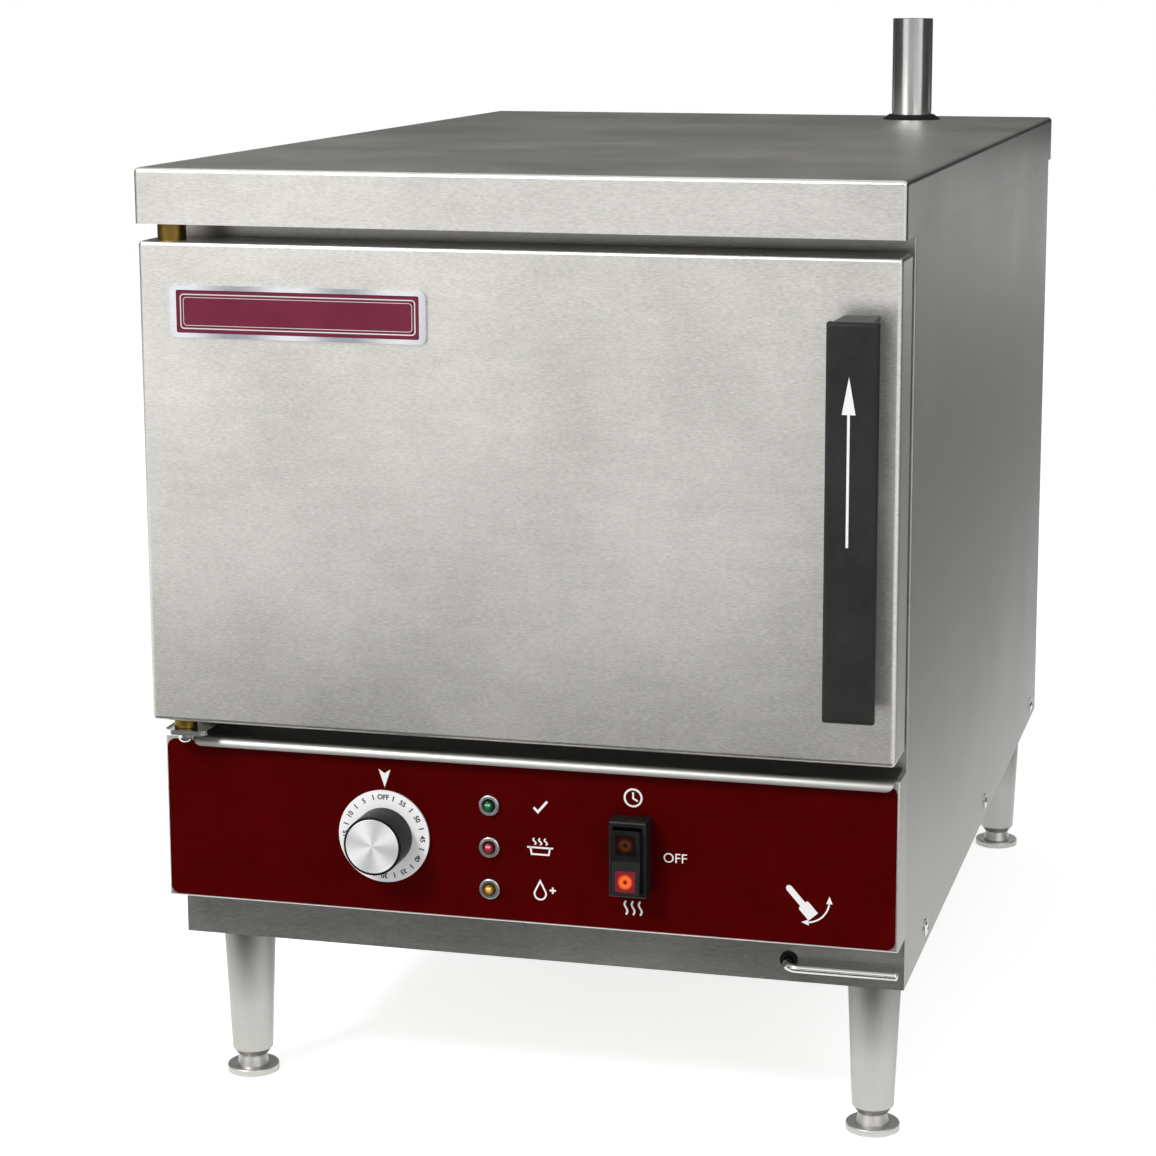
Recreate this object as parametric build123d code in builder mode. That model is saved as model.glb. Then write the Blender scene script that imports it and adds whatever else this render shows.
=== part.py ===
from build123d import *
from math import radians, tan
import os

os.makedirs("parts", exist_ok=True)

# Countertop convection steamer with one compartment, in millimetres.
# X runs to the right, Y to the back and Z up from the floor, from under the middle of the whole object.
# Depths are measured back from the front face of the cabinet, so what stands in front of it is negative.

# Cabinet sizes
body_width = 457.0
body_depth = 696.0
leg_height = 106.0
base_rail_height = 32.0
fascia_height = 104.0
door_low_gap = 13.0
door_height = 292.0
door_top_gap = 10.0
cover_skirt = 33.0
sheet = 1.5
cover_front_reach = 46.2
cover_rear_reach = 4.7
cover_radius = 3.0
flange_width = 15.0
panel_bend_radius = 2.5
panel_edge = 1.2
hole_gap = 0.1
seam_gap = 0.1
frame_cut_gap = 2.0

# Cooking chamber
side_space = 58.5
roof_space = 58.5
well_space = 6.5
rear_space = 84.0
well_depth = 42.0
mouth_margin = 5.0
mouth_roof_margin = 2.0
insulation_thickness = 25.0
insulation_setback = 40.0
insulation_rear_gap = 4.0
blanket_gap = 1.0

# Pan racks
rail_count = 3
rail_pitch = 76.0
rail_rise = 8.0
rail_reach = 15.0
rail_front_gap = 25.0
rail_rear_gap = 10.0
upright_width = 15.0
upright_inset = 55.0
upright_top_rise = 38.0

# Convection fan
fan_height = 165.0
fan_radius = 75.0
fan_width = 28.0
fan_disc = 1.5
fan_rear_gap = 10.0
fan_blades = 10
blade_inner_radius = 36.0
blade_thickness = 1.2
blade_lean = 35.0
blade_edge_gap = 1.5
fan_hub_radius = 12.0
baffle_gap = 14.0
baffle_holes_radius = 5.0
baffle_ring_step = 17.0
baffle_rings = 3
baffle_ring_holes = 6
baffle_slot_width = 12.0
baffle_slot_length = 150.0
baffle_slot_inset = 24.0
motor_radius = 38.0
motor_length = 66.0
motor_flange_radius = 50.0
motor_flange = 3.0
fan_shaft_radius = 4.0
shaft_hole_radius = 11.0
shaft_seat = 20.0
fan_hub_cap = 3.0

# Heating element, probe and thermostat
element_radius = 4.25
element_rise = 12.0
element_end_x = 40.0
element_side_gap = 50.0
element_tail = 18.0
element_bend = 25.0
element_front_gap = 60.0
element_rear_gap = 70.0
probe_depth = 300.0
probe_rise = 30.0
probe_radius = 2.5
probe_reach = 45.0
probe_fitting_radius = 9.0
probe_fitting_length = 20.0
thermostat_radius = 9.0
thermostat_height = 12.0
thermostat_depth = 120.0
thermostat_left_inset = 110.0

# Door
door_right_inset = 0.5
door_front = 45.9
door_thickness = 34.4
door_radius = 2.8
door_fit = 0.2
door_pack_gap = 6.0
gasket_margin = 5.0
gasket_width = 12.0
gasket_radius = 14.0
gasket_gap = 0.4

# Hinge
hinge_inset = 17.5
hinge_front = 35.0
hinge_pin_radius = 3.0
hinge_running_gap = 0.05
bracket_plate = 3.0
bracket_front = 11.0
upper_bracket_front = 6.5
bracket_flange_height = 22.0
upper_bracket_width = 36.0
lower_bracket_gap = 4.5
bracket_corner = 6.0
bracket_tip_width = 27.0
bracket_tip_left = 10.5
bracket_root_left = 11.0
bracket_root_right = 17.5
upper_bush_radius = 8.5
lower_bush_radius = 7.0
bush_shank_radius = 6.0
bush_shank_length = 14.0
bush_end_gap = 0.3
dome_nut_radius = 5.0
dome_nut_height = 7.5
dome_nut_round = 4.2
pin_nut_reach = 3.25
pin_head_radius = 6.5
pin_head_height = 2.5

# Badge on the door
badge_left = 20.0
badge_width = 159.0
badge_height = 31.0
badge_drop = 25.5
badge_thickness = 1.6
badge_rim_width = 4.2
badge_rim_height = 2.8
badge_radius = 4.0
badge_recess = 0.6

# Handle and latch
handle_right_inset = 8.0
handle_width = 30.0
handle_plate = 4.0
handle_body_width = 22.5
handle_back_width = 20.0
handle_low = 32.5
handle_length = 227.1
handle_wall = 3.0
handle_edge = 3.0
handle_tip_edge = 1.5
handle_reach = 78.0
handle_gap = 0.4
handle_wall_lift = 8.0
latch_lift = 18.0
post_radius = 4.0
lower_post_rise = 40.0
upper_post_rise = 180.0
latch_bar_width = 10.0
latch_bar_thickness = 4.0
latch_bar_front_gap = 5.0
latch_bar_margin = 12.0
hook_height = 108.5
hook_thickness = 4.0
hook_depth = 10.0
hook_nose = 11.0
hook_nose_thickness = 4.5
striker_depth = 12.0
striker_radius = 4.0
striker_gap = 1.5
striker_lift_gap = 4.0
striker_width = 14.0
striker_cheek = 3.0
striker_margin = 8.0
striker_rear_margin = 4.0
slot_margin = 4.0
slot_side_gap = 7.0

# Drip tray
tray_front = 33.0
tray_left_inset = 21.0
tray_right_inset = 3.0
tray_lip_drop = 6.2
tray_sheet = 1.2
tray_bend = 5.6
tray_corner = 5.0

# Control fascia
fascia_front = 26.8
overlay_thickness = 0.5
overlay_side_gap = 1.5
overlay_low_gap = 1.6
overlay_top_gap = 3.0
overlay_radius = 5.5

# Timer
timer_left_inset = 142.0
timer_rise = 49.0
dial_radius = 28.8
dial_thickness = 1.4
dial_gap = 1.0
knob_base_radius = 18.0
knob_face_radius = 18.1
knob_height = 22.0
knob_edge = 0.7
knob_recess = 0.4
knob_ring_width = 1.3
timer_shaft_radius = 3.0
timer_shaft_gap = 0.05
timer_shaft_hole = 5.0
timer_shaft_grip = 12.0
timer_shaft_seat = 20.0
timer_body_size = 54.0
timer_body_length = 42.0

# Pilot lights
pilot_left_inset = 208.6
pilot_rise = 46.85
pilot_pitch = 26.1
pilot_bezel_radius = 6.45
pilot_bezel_height = 2.6
pilot_bezel_edge = 1.0
pilot_lens_radius = 3.2
pilot_lens_rise = 1.6
pilot_cone_width = 1.1
pilot_cone_depth = 1.3
pilot_lens_gap = 0.05
pilot_lens_seat = 3.0
pilot_body_radius = 4.8
pilot_body_length = 26.0
pilot_hole_gap = 0.2

# Rocker switch
switch_right_inset = 159.5
switch_rise = 49.3
switch_width = 23.1
switch_height = 46.6
switch_reach = 14.2
switch_body_inset = 1.8
switch_body_length = 30.0
switch_wall = 2.6
switch_end_wall = 3.2
switch_well = 11.5
rocker_gap = 0.35
rocker_tilt = 7.6
rocker_pivot_depth = 6.0
rocker_crown = 9.4
rocker_pin_radius = 1.6
rocker_pin_reach = 1.5
rocker_pin_gap = 0.05
rocker_back = 3.0
rocker_heel = 7.0

# Drain
drain_right_inset = 69.8
drain_rise = 13.5
lever_rod_radius = 2.5
lever_reach = 15.0
lever_end_inset = 1.5
lever_bend = 8.0
lever_end_round = 1.5
grommet_outer_radius = 5.4
grommet_groove_radius = 4.4
grommet_gap = 0.4
grommet_lip = 1.2
valve_depth = 170.0
valve_size = 34.0
valve_low_half = 11.9
valve_length = 40.0
ball_radius = 11.0
ball_gap = 0.3
ball_port_radius = 7.0
stem_radius = 5.0
stem_gap = 0.06
stem_length = 14.0
pipe_radius = 10.65
pipe_wall = 2.75
pipe_bend = 24.0
drain_inlet_shift = 58.7
drain_stub = 30.0
drain_neck_radius = 10.45
drain_neck_reach = 3.0
pipe_hole_gap = 0.5

# Exhaust
exhaust_right_inset = 102.5
exhaust_radius = 15.5
exhaust_neck_radius = 15.3
exhaust_neck_rise = 3.0
exhaust_wall = 1.5
exhaust_rise = 78.0
exhaust_hole_gap = 0.5
exhaust_joint_drop = 45.0
vent_drop = 31.5
vent_bend = 28.0
vent_stub = 3.0
collar_base_radius = 22.8
collar_top_radius = 17.6
collar_height = 3.8
collar_gap = 0.05

# Legs and levelling feet
leg_inset = 24.5
leg_front_depth = 43.0
leg_rear_inset = 37.0
leg_top_radius = 17.0
leg_collar_drop = 19.0
leg_collar_radius = 16.1
leg_low_radius = 13.05
leg_chamfer_height = 4.5
leg_tip_radius = 9.6
foot_gap = 0.2
foot_height = 11.0
foot_disc_radius = 16.75
foot_disc_height = 4.5
foot_shoulder_radius = 10.5
foot_neck_radius = 8.6
foot_edge = 1.0
foot_screw_radius = 5.0
foot_screw_gap = 0.06
foot_screw_length = 58.0
leg_bore_margin = 4.0
stud_radius = 4.0
stud_length = 9.0
nut_radius = 6.5
nut_height = 5.0

# Screws
screw_rise = 12.0
screw_head_radius = 5.5
screw_head_height = 2.2
screw_radius = 2.4
screw_length = 7.0
side_screw_front = 84.0
side_screw_rear_inset = 34.0
back_screw_inset = 7.5
back_screw_rows = 3

# Electrics and back panel
back_inset = 2.5
louvre_count = 7
louvre_width = 60.0
louvre_height = 4.0
louvre_pitch = 14.0
louvre_left_inset = 133.5
louvre_rise = 300.0
gland_left_inset = 78.5
gland_rise = 62.0
gland_bore = 7.0
gland_radius = 11.0
gland_nut_radius = 14.0
gland_nut_length = 8.0
gland_reach = 20.0
gland_inner_reach = 8.0
contactor_width = 45.0
contactor_depth_size = 60.0
contactor_height = 52.0
contactor_left_inset = 78.5
contactor_depth = 260.0
contactor_foot = 4.0
base_vent_count = 8
base_vent_length = 60.0
base_vent_width = 5.0
base_vent_pitch = 16.0
base_vent_depth = 420.0
base_vent_left_inset = 138.5

# Places worked out from the sizes; a punch goes right through one sheet
half = body_width / 2
punch = 3 * sheet
rear_reach = body_depth + drain_stub
front_y = (handle_reach - rear_reach) / 2
base_z = leg_height
fascia_z = base_z + base_rail_height
fascia_top = fascia_z + fascia_height
door_z = fascia_top + door_low_gap
door_top = door_z + door_height
cover_z = door_top + door_top_gap
top_z = cover_z + cover_skirt
roof_z = top_z - sheet

chamber_half = half - side_space
chamber_rear = body_depth - rear_space
chamber_floor = fascia_top + well_space + sheet
chamber_roof = top_z - roof_space - sheet
sill_z = chamber_floor + well_depth
mouth_half = chamber_half - mouth_margin
mouth_top = chamber_roof - mouth_roof_margin
rail_z = [sill_z + rail_rise + row * rail_pitch for row in range(rail_count)]
fan_z = chamber_floor + fan_height
fan_back = chamber_rear - sheet - fan_rear_gap
baffle_depth = fan_back - fan_width - baffle_gap

door_left = -half
door_right = half - door_right_inset
door_back = -door_front + door_thickness
hinge_x = -half + hinge_inset
lower_plate_z = fascia_top + lower_bracket_gap
handle_x = half - handle_right_inset - handle_width / 2
handle_z = door_z + handle_low
hook_x = handle_x
hook_z = handle_z + hook_height
slot_low = hook_z - hook_nose - slot_margin
slot_high = hook_z + hook_depth + latch_lift + slot_margin
post_places = [handle_z + lower_post_rise, handle_z + upper_post_rise]
striker_z = hook_z - striker_lift_gap - striker_radius
bar_front = -door_front + sheet + latch_bar_front_gap

overlay_front = -fascia_front - overlay_thickness
timer_x = -half + timer_left_inset
timer_z = fascia_z + timer_rise
pilot_x = -half + pilot_left_inset
pilot_z = fascia_z + pilot_rise
pilot_places = [(pilot_x, pilot_z + step * pilot_pitch) for step in (1, 0, -1)]
switch_x = half - switch_right_inset
switch_z = fascia_z + switch_rise
drain_x = half - drain_right_inset
drain_z = base_z + drain_rise
drain_inlet_x = drain_x - drain_inlet_shift
switch_cut_x = switch_width / 2 - switch_body_inset
switch_cut_z = switch_height / 2 - switch_body_inset
rocker_half_width = switch_width / 2 - switch_wall - rocker_gap
rocker_half_length = switch_height / 2 - switch_end_wall - rocker_gap
rocker_pivot = overlay_front - switch_reach + rocker_pivot_depth
screw_z = base_z + screw_rise
back_screw_levels = [fascia_z + (roof_z - fascia_z) * (row + 0.5) / back_screw_rows
                     for row in range(back_screw_rows)]
side_screw_depths = [side_screw_front, (body_depth + side_screw_front - side_screw_rear_inset) / 2,
                     body_depth - side_screw_rear_inset]
leg_x = half - leg_inset
leg_rear_depth = body_depth - leg_rear_inset
leg_places = [("front_left", -leg_x, leg_front_depth), ("front_right", leg_x, leg_front_depth),
              ("rear_left", -leg_x, leg_rear_depth), ("rear_right", leg_x, leg_rear_depth)]
vent_z = chamber_roof - vent_drop
exhaust_x = half - exhaust_right_inset
exhaust_depth = chamber_rear + vent_bend + vent_stub
louvre_x = -half + louvre_left_inset
gland_x = -half + gland_left_inset
contactor_x = -half + contactor_left_inset
base_vent_x = -half + base_vent_left_inset
thermostat_x = -chamber_half + thermostat_left_inset
element_spread_x = chamber_half - element_side_gap
bottom_align = (Align.CENTER, Align.CENTER, Align.MIN)


def front_plane(depth, x=0.0, z=0.0):
    """Upright plane that faces out of the front: its own x is X, its own y is Z."""
    return Plane(origin=(x, front_y + depth, z), x_dir=(1, 0, 0), z_dir=(0, -1, 0))


def side_plane(x, depth=0.0, z=0.0):
    """Upright plane that faces right: its own x is depth, its own y is Z."""
    return Plane(origin=(x, front_y + depth, z), x_dir=(0, 1, 0), z_dir=(1, 0, 0))


def level_plane(z, x=0.0, depth=0.0):
    """Level plane that faces up: its own x is X, its own y is depth."""
    return Plane(origin=(x, front_y + depth, z), x_dir=(1, 0, 0), z_dir=(0, 0, 1))


def block(x, depth, z, mode=Mode.ADD):
    """Box between a low and a high value on each axis."""
    with Locations((x[0], front_y + depth[0], z[0])):
        Box(x[1] - x[0], depth[1] - depth[0], z[1] - z[0], align=(Align.MIN, Align.MIN, Align.MIN),
            mode=mode)


def rod(plane, radius, length, mode=Mode.ADD):
    """Cylinder that stands on a plane and runs the way it faces."""
    with Locations(plane):
        Cylinder(radius, length, align=bottom_align, mode=mode)


def cone(plane, low_radius, high_radius, height, mode=Mode.ADD):
    """Tapered rod that stands on a plane."""
    with Locations(plane):
        Cone(low_radius, high_radius, height, align=bottom_align, mode=mode)


def save(piece, name):
    """Labels a finished piece and writes it."""
    piece.part.label = name
    export_step(piece.part, f"parts/{name}.step")


# Cabinet shell

with BuildPart() as top_cover:
    block((-half - sheet, half + sheet), (-cover_front_reach, body_depth + cover_rear_reach), (cover_z,
          top_z))
    fillet(top_cover.edges().filter_by(Axis.Z), cover_radius)
    fillet(top_cover.faces().sort_by(Axis.Z)[-1].edges(), cover_radius)
    offset(amount=-sheet, openings=top_cover.faces().sort_by(Axis.Z)[0])
    rod(level_plane(cover_z, exhaust_x, exhaust_depth), exhaust_neck_radius + exhaust_hole_gap,
        2 * cover_skirt,
        Mode.SUBTRACT)
save(top_cover, "top_cover")

with BuildPart() as right_side_panel:
    block((half - sheet, half), (0, body_depth), (base_z, roof_z))
    block((half - flange_width, half), (0, body_depth), (roof_z - sheet, roof_z))
    block((half - flange_width, half), (body_depth - sheet, body_depth), (fascia_z, roof_z))
    top_edges = right_side_panel.faces().sort_by(Axis.Z)[-1].edges().filter_by(Axis.Y)
    fillet(top_edges.sort_by(Axis.X)[-1], panel_bend_radius)
    with BuildSketch(level_plane(fascia_top)):
        with Locations((half, 0)):
            Rectangle(2 * panel_edge, 2 * panel_edge)
        with Locations((half - panel_edge, panel_edge)):
            Circle(panel_edge, mode=Mode.SUBTRACT)
            Rectangle(2 * panel_edge, panel_edge, align=(Align.CENTER, Align.MIN), mode=Mode.SUBTRACT)
            Rectangle(panel_edge, 2 * panel_edge, align=(Align.MAX, Align.CENTER), mode=Mode.SUBTRACT)
    extrude(amount=roof_z - fascia_top, mode=Mode.SUBTRACT)
    for screw_depth in side_screw_depths:
        rod(side_plane(half - 2 * sheet, screw_depth, screw_z), screw_radius + hole_gap, punch,
            Mode.SUBTRACT)
    for screw_level in back_screw_levels:
        rod(front_plane(body_depth + sheet, half - back_screw_inset, screw_level), screw_radius + hole_gap,
            punch, Mode.SUBTRACT)
save(right_side_panel, "right_side_panel")

with BuildPart() as left_side_panel:
    mirror(right_side_panel.part, about=Plane.YZ)
save(left_side_panel, "left_side_panel")

with BuildPart() as back_panel:
    block((-half + back_inset, half - back_inset), (body_depth, body_depth + sheet), (base_z,
          roof_z - back_inset))
    for row in range(louvre_count):
        louvre_low = base_z + louvre_rise + (row - louvre_count) * louvre_pitch
        block((louvre_x, louvre_x + louvre_width), (body_depth, body_depth + sheet),
              (louvre_low, louvre_low + louvre_height), Mode.SUBTRACT)
    rod(front_plane(body_depth + 2 * sheet, gland_x, base_z + gland_rise), gland_radius + hole_gap, punch,
        Mode.SUBTRACT)
    rod(front_plane(body_depth + 2 * sheet, drain_x, drain_z), pipe_radius + pipe_hole_gap, punch,
        Mode.SUBTRACT)
    for side in (-1, 1):
        for screw_level in back_screw_levels:
            rod(front_plane(body_depth + 2 * sheet, side * (half - back_screw_inset), screw_level),
                screw_radius + hole_gap, punch, Mode.SUBTRACT)
save(back_panel, "back_panel")

with BuildPart() as base_pan:
    block((-half + sheet, half - sheet), (0, body_depth), (base_z, fascia_z))
    block((-half + 2 * sheet, half - 2 * sheet), (sheet, body_depth - sheet), (base_z + sheet, fascia_z),
          Mode.SUBTRACT)
    rod(front_plane(2 * sheet, drain_x, drain_z), grommet_groove_radius + hole_gap, punch, Mode.SUBTRACT)
    rod(front_plane(body_depth + sheet, drain_x, drain_z), pipe_radius + pipe_hole_gap, punch,
        Mode.SUBTRACT)
    for leg_name, leg_centre, leg_depth in leg_places:
        rod(level_plane(base_z, leg_centre, leg_depth), stud_radius + hole_gap, 2 * sheet, Mode.SUBTRACT)
    for side in (-1, 1):
        for screw_depth in side_screw_depths:
            rod(side_plane(side * (half - punch / 2) - punch / 2, screw_depth, screw_z),
                screw_radius + hole_gap,
                punch, Mode.SUBTRACT)
    for row in range(base_vent_count):
        vent_depth = base_vent_depth + row * base_vent_pitch
        block((base_vent_x, base_vent_x + base_vent_length), (vent_depth, vent_depth + base_vent_width),
              (base_z, base_z + sheet), Mode.SUBTRACT)
save(base_pan, "base_pan")

with BuildPart() as front_frame:
    block((-half + sheet, half - sheet), (0, sheet), (fascia_z, roof_z - sheet))
    with BuildSketch(front_plane(sheet)):
        with Locations((0, (sill_z + mouth_top) / 2)):
            Rectangle(2 * mouth_half, mouth_top - sill_z)
        with Locations((timer_x, timer_z)):
            Rectangle(timer_body_size + 2 * frame_cut_gap, timer_body_size + 2 * frame_cut_gap)
        with Locations((pilot_x, pilot_z)):
            Rectangle(2 * (pilot_body_radius + frame_cut_gap),
                      2 * (pilot_pitch + pilot_body_radius + frame_cut_gap))
        with Locations((switch_x, switch_z)):
            Rectangle(switch_width + 2 * frame_cut_gap, switch_height + 2 * frame_cut_gap)
    extrude(amount=sheet, mode=Mode.SUBTRACT)
    block((hook_x - slot_side_gap, hook_x + slot_side_gap), (0, sheet), (slot_low, slot_high),
          Mode.SUBTRACT)
    for seam_z in (sill_z - seam_gap, mouth_top):
        block((-half, half), (0, sheet), (seam_z, seam_z + seam_gap), Mode.SUBTRACT)
save(front_frame, "front_frame")


# Cooking chamber and what is in it

with BuildPart() as cooking_chamber:
    block((-chamber_half - sheet, chamber_half + sheet), (sheet, chamber_rear), (chamber_floor - sheet,
          chamber_roof + sheet))
    block((-chamber_half, chamber_half), (sheet, chamber_rear - sheet), (chamber_floor, chamber_roof),
          Mode.SUBTRACT)
    rod(front_plane(chamber_rear + sheet, 0, fan_z), shaft_hole_radius, punch, Mode.SUBTRACT)
    rod(front_plane(chamber_rear + sheet, exhaust_x, vent_z), exhaust_neck_radius - exhaust_wall, punch,
        Mode.SUBTRACT)
    rod(level_plane(chamber_floor - punch, drain_inlet_x, valve_depth), pipe_radius - pipe_wall,
        2 * punch, Mode.SUBTRACT)
    rod(side_plane(-chamber_half - 2 * sheet, probe_depth, chamber_floor + probe_rise),
        probe_radius + hole_gap,
        punch, Mode.SUBTRACT)
    for side in (-1, 1):
        rod(front_plane(chamber_rear + sheet, side * element_end_x, chamber_floor + element_rise),
            element_radius + hole_gap, punch, Mode.SUBTRACT)
save(cooking_chamber, "cooking_chamber")

with BuildPart() as chamber_insulation:
    blanket_outer = chamber_half + sheet + insulation_thickness
    blanket_rear = chamber_rear - insulation_rear_gap
    block((-blanket_outer, blanket_outer), (insulation_setback, blanket_rear),
          (chamber_floor - sheet, chamber_roof + sheet + insulation_thickness))
    block((-chamber_half - sheet, chamber_half + sheet), (insulation_setback, blanket_rear),
          (chamber_floor - sheet, chamber_roof + sheet), Mode.SUBTRACT)
    rod(side_plane(-blanket_outer, probe_depth, chamber_floor + probe_rise),
        probe_fitting_radius + blanket_gap,
        insulation_thickness, Mode.SUBTRACT)
save(chamber_insulation, "chamber_insulation")


def pan_rack(side):
    """Ladder of shelf rails on two uprights, against one side wall of the chamber."""
    rail_x = sorted((side * (chamber_half - sheet - seam_gap), side * (chamber_half - rail_reach)))
    upright_x = sorted((side * chamber_half, side * (chamber_half - sheet)))
    rail_rear = baffle_depth - rail_rear_gap
    for rail_level in rail_z:
        block(rail_x, (rail_front_gap, rail_rear), (rail_level, rail_level + sheet))
    for upright_depth in (rail_front_gap + upright_inset, rail_rear - upright_inset - upright_width):
        block(upright_x, (upright_depth, upright_depth + upright_width), (rail_z[0],
              rail_z[-1] + upright_top_rise))


with BuildPart() as pan_racks:
    pan_rack(-1)
    pan_rack(1)
save(pan_racks, "pan_racks")

with BuildPart() as fan_baffle:
    block((-chamber_half, chamber_half), (baffle_depth - sheet, baffle_depth), (sill_z, chamber_roof))
    with BuildSketch(front_plane(baffle_depth)):
        with Locations((0, fan_z)):
            Circle(baffle_holes_radius)
            for ring in range(1, baffle_rings + 1):
                with PolarLocations(ring * baffle_ring_step, ring * baffle_ring_holes):
                    Circle(baffle_holes_radius)
        for side in (-1, 1):
            with Locations((side * (chamber_half - baffle_slot_inset), fan_z)):
                SlotCenterToCenter(baffle_slot_length, baffle_slot_width, rotation=90)
    extrude(amount=sheet, mode=Mode.SUBTRACT)
save(fan_baffle, "fan_baffle")

with BuildPart() as fan_wheel:
    with BuildSketch(front_plane(fan_back)):
        with Locations((0, fan_z)):
            Circle(fan_radius)
    extrude(amount=fan_disc)
    rod(front_plane(fan_back, 0, fan_z), fan_hub_radius, fan_width)
    with BuildSketch(front_plane(fan_back - fan_disc)):
        with Locations((0, fan_z)):
            with PolarLocations((blade_inner_radius + fan_radius) / 2, fan_blades):
                Rectangle(fan_radius - blade_inner_radius - 2 * blade_edge_gap, blade_thickness,
                          rotation=blade_lean)
    extrude(amount=fan_width - fan_disc)
    rod(front_plane(fan_back, 0, fan_z), fan_shaft_radius, fan_width - fan_hub_cap, Mode.SUBTRACT)
save(fan_wheel, "fan_wheel")

with BuildPart() as fan_shaft:
    rod(front_plane(chamber_rear + motor_flange + shaft_seat, 0, fan_z), fan_shaft_radius - hole_gap / 2,
        chamber_rear + motor_flange + shaft_seat - fan_back + fan_width - fan_hub_cap)
save(fan_shaft, "fan_shaft")

with BuildPart() as fan_motor:
    rod(front_plane(chamber_rear + motor_flange, 0, fan_z), motor_flange_radius, motor_flange)
    rod(front_plane(chamber_rear + motor_flange + motor_length, 0, fan_z), motor_radius, motor_length)
    fillet(fan_motor.faces().sort_by(Axis.Y)[-1].edges(), motor_flange)
    rod(front_plane(chamber_rear + motor_flange + shaft_seat + hole_gap, 0, fan_z),
        fan_shaft_radius - hole_gap / 2 + hinge_running_gap, motor_flange + shaft_seat + hole_gap,
        Mode.SUBTRACT)
save(fan_motor, "fan_motor")

with BuildPart() as heater_element:
    element_z = chamber_floor + element_rise
    element_back = front_y + chamber_rear + element_tail
    turn_back = front_y + baffle_depth - element_rear_gap
    turn_front = front_y + element_front_gap
    with BuildLine() as element_path:
        FilletPolyline((-element_end_x, element_back, element_z), (-element_end_x, turn_back, element_z),
                       (-element_spread_x, turn_back, element_z), (-element_spread_x, turn_front,
                           element_z),
                       (element_spread_x, turn_front, element_z), (element_spread_x, turn_back, element_z),
                       (element_end_x, turn_back, element_z), (element_end_x, element_back, element_z),
                       radius=element_bend)
    with BuildSketch(Plane(origin=element_path.line @ 0, z_dir=element_path.line % 0)):
        Circle(element_radius)
    sweep(path=element_path.line)
save(heater_element, "heater_element")

with BuildPart() as level_probe:
    probe_z = chamber_floor + probe_rise
    rod(side_plane(-chamber_half - sheet, probe_depth, probe_z), probe_radius, sheet + probe_reach)
    with BuildSketch(side_plane(-chamber_half - sheet - probe_fitting_length, probe_depth, probe_z)):
        RegularPolygon(probe_fitting_radius, 6)
    extrude(amount=probe_fitting_length)
save(level_probe, "level_probe")

with BuildPart() as high_limit_thermostat:
    rod(level_plane(chamber_floor - sheet - thermostat_height, thermostat_x, thermostat_depth),
        thermostat_radius,
        thermostat_height)
    fillet(high_limit_thermostat.faces().sort_by(Axis.Z)[0].edges(), sheet)
save(high_limit_thermostat, "high_limit_thermostat")


# Door

with BuildPart() as door_shell:
    block((door_left, door_right), (-door_front, door_back), (door_z, door_top))
    fillet(door_shell.edges().filter_by(Axis.Y), door_radius)
    fillet(door_shell.faces().sort_by(Axis.Y)[0].edges(), door_radius)
    offset(amount=-sheet, openings=door_shell.faces().sort_by(Axis.Y)[-1])
    for post_z in post_places:
        with BuildSketch(front_plane(0)):
            with Locations((hook_x, post_z + latch_lift / 2)):
                SlotCenterToCenter(latch_lift, 2 * (post_radius + hole_gap), rotation=90)
        extrude(amount=2 * door_front, mode=Mode.SUBTRACT)
    rod(level_plane(door_z, hinge_x, -hinge_front), bush_shank_radius + hole_gap, door_height,
        Mode.SUBTRACT)
save(door_shell, "door_shell")

with BuildPart() as door_inner_panel:
    inner_edge = sheet + door_fit
    block((door_left + inner_edge, door_right - inner_edge), (door_back - sheet, door_back),
          (door_z + inner_edge, door_top - inner_edge))
    fillet(door_inner_panel.edges().filter_by(Axis.Y), door_radius - sheet)
    block((hook_x - slot_side_gap, hook_x + slot_side_gap), (door_back - sheet, door_back), (slot_low,
          slot_high),
          Mode.SUBTRACT)
save(door_inner_panel, "door_inner_panel")

with BuildPart() as door_insulation:
    block((hinge_x + bush_shank_radius + door_pack_gap, hook_x - latch_bar_width / 2 - door_pack_gap),
          (-door_front + sheet, door_back - sheet), (door_z + sheet, door_top - sheet))
    fillet(door_insulation.faces().sort_by(Axis.Y)[0].edges().filter_by(Axis.X),
           door_radius - sheet + door_fit)
save(door_insulation, "door_insulation")

with BuildPart() as door_gasket:
    gasket_half = mouth_half + gasket_margin
    gasket_middle = (sill_z + mouth_top) / 2
    gasket_height = mouth_top - sill_z + 2 * gasket_margin
    with BuildSketch(front_plane(-gasket_gap)):
        with Locations((0, gasket_middle)):
            RectangleRounded(2 * (gasket_half + gasket_width), gasket_height + 2 * gasket_width,
                             gasket_radius + gasket_width)
            RectangleRounded(2 * gasket_half, gasket_height, gasket_radius, mode=Mode.SUBTRACT)
    extrude(amount=-door_back - gasket_gap)
save(door_gasket, "door_gasket")


def rounded_plate(width, height, radius, thickness, plane):
    """Flat plate with round corners, on a plane through its middle."""
    with BuildPart() as plate:
        with BuildSketch(plane):
            RectangleRounded(width, height, radius)
        extrude(amount=thickness)
    return plate


badge_x = -half + badge_left + badge_width / 2
badge_z = door_top - badge_drop - badge_height / 2
badge_plane = front_plane(-door_front, badge_x, badge_z)
plate_width = badge_width - 2 * badge_rim_width
plate_height = badge_height - 2 * badge_rim_height
plate_radius = badge_radius - badge_rim_height
badge_plate = rounded_plate(plate_width, plate_height, plate_radius, badge_thickness - badge_recess,
                            badge_plane)
save(badge_plate, "badge_plate")

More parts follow.
